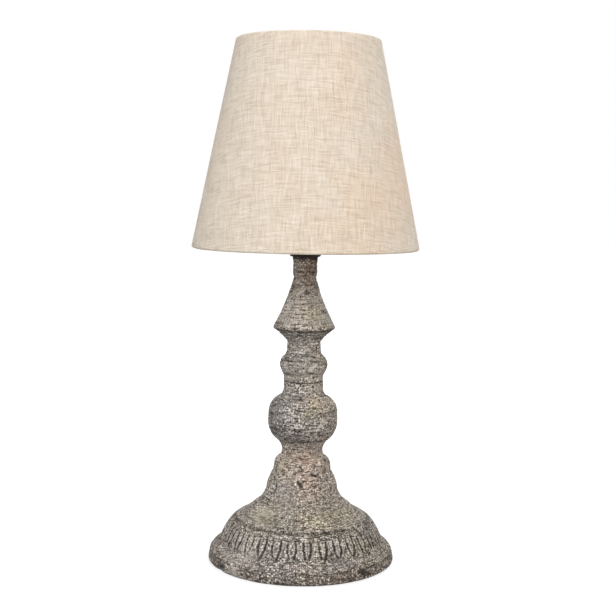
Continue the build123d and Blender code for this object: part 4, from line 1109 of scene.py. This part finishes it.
def make_shade():
    """The linen cover: the sheet's line carried round the axis with the cloth's thickness, one wall on each
    side of it. The cloth laps over itself at the back. Returns the piece, the size of the flat sheet that
    the sector is cut from, and the sector's area."""
    columns = 416
    turns = around(columns)
    section, places, total = sheet_path(0.0034)
    uneven = soft_noise(turns, places, 26, 0.012, 301) * 0.00006
    uneven += soft_noise(turns, places, 7, 0.05, 302) * 0.00012
    past_cut = (((turns + 0.25) % 1 - 0.5) * 2 * np.pi)[None, :]
    lap_angle = LAP / np.maximum(section[:, :1], 0.02)
    lap = step_up(past_cut, -0.0035, 0.0) * (1 - step_up(past_cut - lap_angle, -0.05, 0.12))
    hems_end = 0.016
    face_starts = 0.02
    face = step_up(places, hems_end, face_starts) * step_up(total - places, hems_end, face_starts)
    outer = turn_round(section, turns, CLOTH / 2 + uneven + lap * face[:, None] * LAP_RISE)
    inner = turn_round(section, turns, uneven - CLOTH / 2)
    made = rings_to_mesh("shade_cover_linen", [outer, inner[::-1]])
    narrowing = SHADE_LOW_RADIUS - SHADE_TOP_RADIUS
    sine = narrowing / math.hypot(narrowing, SHADE_HEIGHT)
    cone_slant = SHADE_LOW_RADIUS / sine
    from_point = cone_slant - (places - HEM_CLOTH)
    lay_flat(made.data, columns, np.concatenate([from_point, from_point[::-1]]), sine)
    rise = np.hypot(*np.diff(section, axis=0).T)
    area = float(np.sum(rise * np.pi * (section[1:, 0] + section[:-1, 0]))) + LAP * total
    outer_reach = cone_slant + HEM_CLOTH
    inner_reach = cone_slant - (total - HEM_CLOTH)
    half_angle = math.pi * sine + LAP / cone_slant
    flat_size = (2 * outer_reach * math.sin(half_angle), outer_reach - inner_reach * math.cos(half_angle))
    return made, flat_size, area


shade, flat_size, flat_area = make_shade()
dress(shade, LINEN, "shade", "shade_cover")


# Felt under the foot

def make_felt():
    """A felt disc with a softly cut edge. Its face is a flat circle, and the edge is a half round whose
    radius is half of the felt's thickness, with fibres that stand out a little."""
    low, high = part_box("felt_pad")
    half_thick = (high.z - low.z) / 2
    radius = (high.x - low.x) / 2
    hole = 0.0015
    rings = 24
    fibre = 0.0002
    turns = around(384)
    bow = np.radians(np.linspace(-90, 90, 9))
    edge = np.stack([radius - half_thick + half_thick * np.cos(bow),
                     low.z + half_thick + half_thick * np.sin(bow)], 1)
    inwards = np.linspace(radius - half_thick, hole, rings)
    under = np.stack([inwards[::-1], np.full(rings, low.z)], 1)
    over = np.stack([inwards, np.full(rings, high.z)], 1)
    section = np.vstack([under[:-1], edge, over[1:]])
    fuzz = np.zeros((len(section), len(turns)))
    on_edge = slice(rings - 1, rings - 1 + len(bow))
    fuzz[on_edge] = (soft_noise(turns, np.arange(len(bow)), 190, 2.0, 401) - 1) * fibre
    grid = ring_points(section[:, :1] + fuzz, np.repeat(section[:, 1:], len(turns), 1), turns)
    return rings_to_mesh("felt_pad_dressed", [grid], joined=False)


felt_pad = dress(make_felt(), FELT, "lamp_base", "felt_pad")


# Floor, backdrop and light

def seen_directly(tree):
    """1 for what the camera sees, also in mirrors and through glass, and 0 for what lights the object."""
    rays = tree.nodes.new("ShaderNodeLightPath").outputs
    seen = maths("MAXIMUM", rays["Is Camera Ray"], rays["Is Glossy Ray"])
    return maths("MAXIMUM", seen, rays["Is Transmission Ray"])


def two_ways(lighting, shown, end):
    """Joins two shaders in the output: one that lights the object, and one that the camera sees."""
    tree = lighting.id_data
    both = node("ShaderNodeMixShader", {0: seen_directly(tree), 1: lighting, 2: shown})
    fill(tree.nodes.new(end), {0: both[0]})


def white_floor():
    """A floor that is white for the camera and still holds the soft shadow, and that gives a plain white
    back to the object."""
    made = bpy.data.materials.new("white_floor")
    tree = empty_tree(made)
    plain = node("ShaderNodeBsdfDiffuse", {"Color": (0.4, 0.4, 0.4, 1)}, tree)[0]
    shadow = node("ShaderNodeBsdfDiffuse", {"Color": (0.38, 0.38, 0.38, 1)}, tree)[0]
    place = tree.nodes.new("ShaderNodeTexCoord").outputs["Object"]
    away = node("ShaderNodeVectorMath", {0: place}, operation="LENGTH")["Value"]
    # The glow fades towards the lamp, so the floor round the foot is painted a little darker and its shadow
    # deepens there.
    glow = node("ShaderNodeEmission", {"Strength": between(away, 0.25, 1.1, 0.74, 0.95)})
    shown = node("ShaderNodeAddShader", {0: shadow, 1: glow[0]})[0]
    two_ways(plain, shown, "ShaderNodeOutputMaterial")
    return made


def white_world():
    """A dim even sky for the object, behind which the camera sees plain white."""
    world = bpy.data.worlds.new("studio")
    tree = empty_tree(world)
    ambient = node("ShaderNodeBackground", {"Color": (1, 1, 1, 1), "Strength": 0.4}, tree)[0]
    backdrop = node("ShaderNodeBackground", {"Color": (1, 1, 1, 1), "Strength": 1.0}, tree)[0]
    two_ways(ambient, backdrop, "ShaderNodeOutputWorld")
    return world


def area_light(name, place, target, size, power, colour):
    """A square soft light at a place, facing a target."""
    data = bpy.data.lights.new(name, "AREA")
    data.shape = "SQUARE"
    data.size = size
    data.energy = power
    data.color = colour
    lamp = add_object(name, data)
    lamp.location = place
    direction = Vector([end - start for start, end in zip(place, target)])
    lamp.rotation_euler = direction.to_track_quat("-Z", "Y").to_euler()


floor_mesh = bpy.data.meshes.new("floor")
floor_mesh.from_pydata([(-6, -6, 0), (6, -6, 0), (6, 6, 0), (-6, 6, 0)], [], [(0, 1, 2, 3)])
floor_mesh.materials.append(white_floor())
add_object("floor", floor_mesh)

bpy.context.scene.world = white_world()

area_light("top_light", (0.25, -0.5, 2.1), (0, 0, 0.2), 1.4, 9.0, (1.0, 0.99, 0.98))
area_light("front_light", (0.42, -1.93, 1.05), (0, 0, 0.25), 1.2, 26.5, (1.0, 0.985, 0.965))
area_light("left_light", (-1.8, -1.2, 0.9), (0, 0, 0.25), 1.1, 11.5, (0.98, 0.985, 1.0))
area_light("back_light", (0.3, 1.8, 1.1), (0, 0, 0.25), 1.4, 21.0, (1.0, 1.0, 1.0))
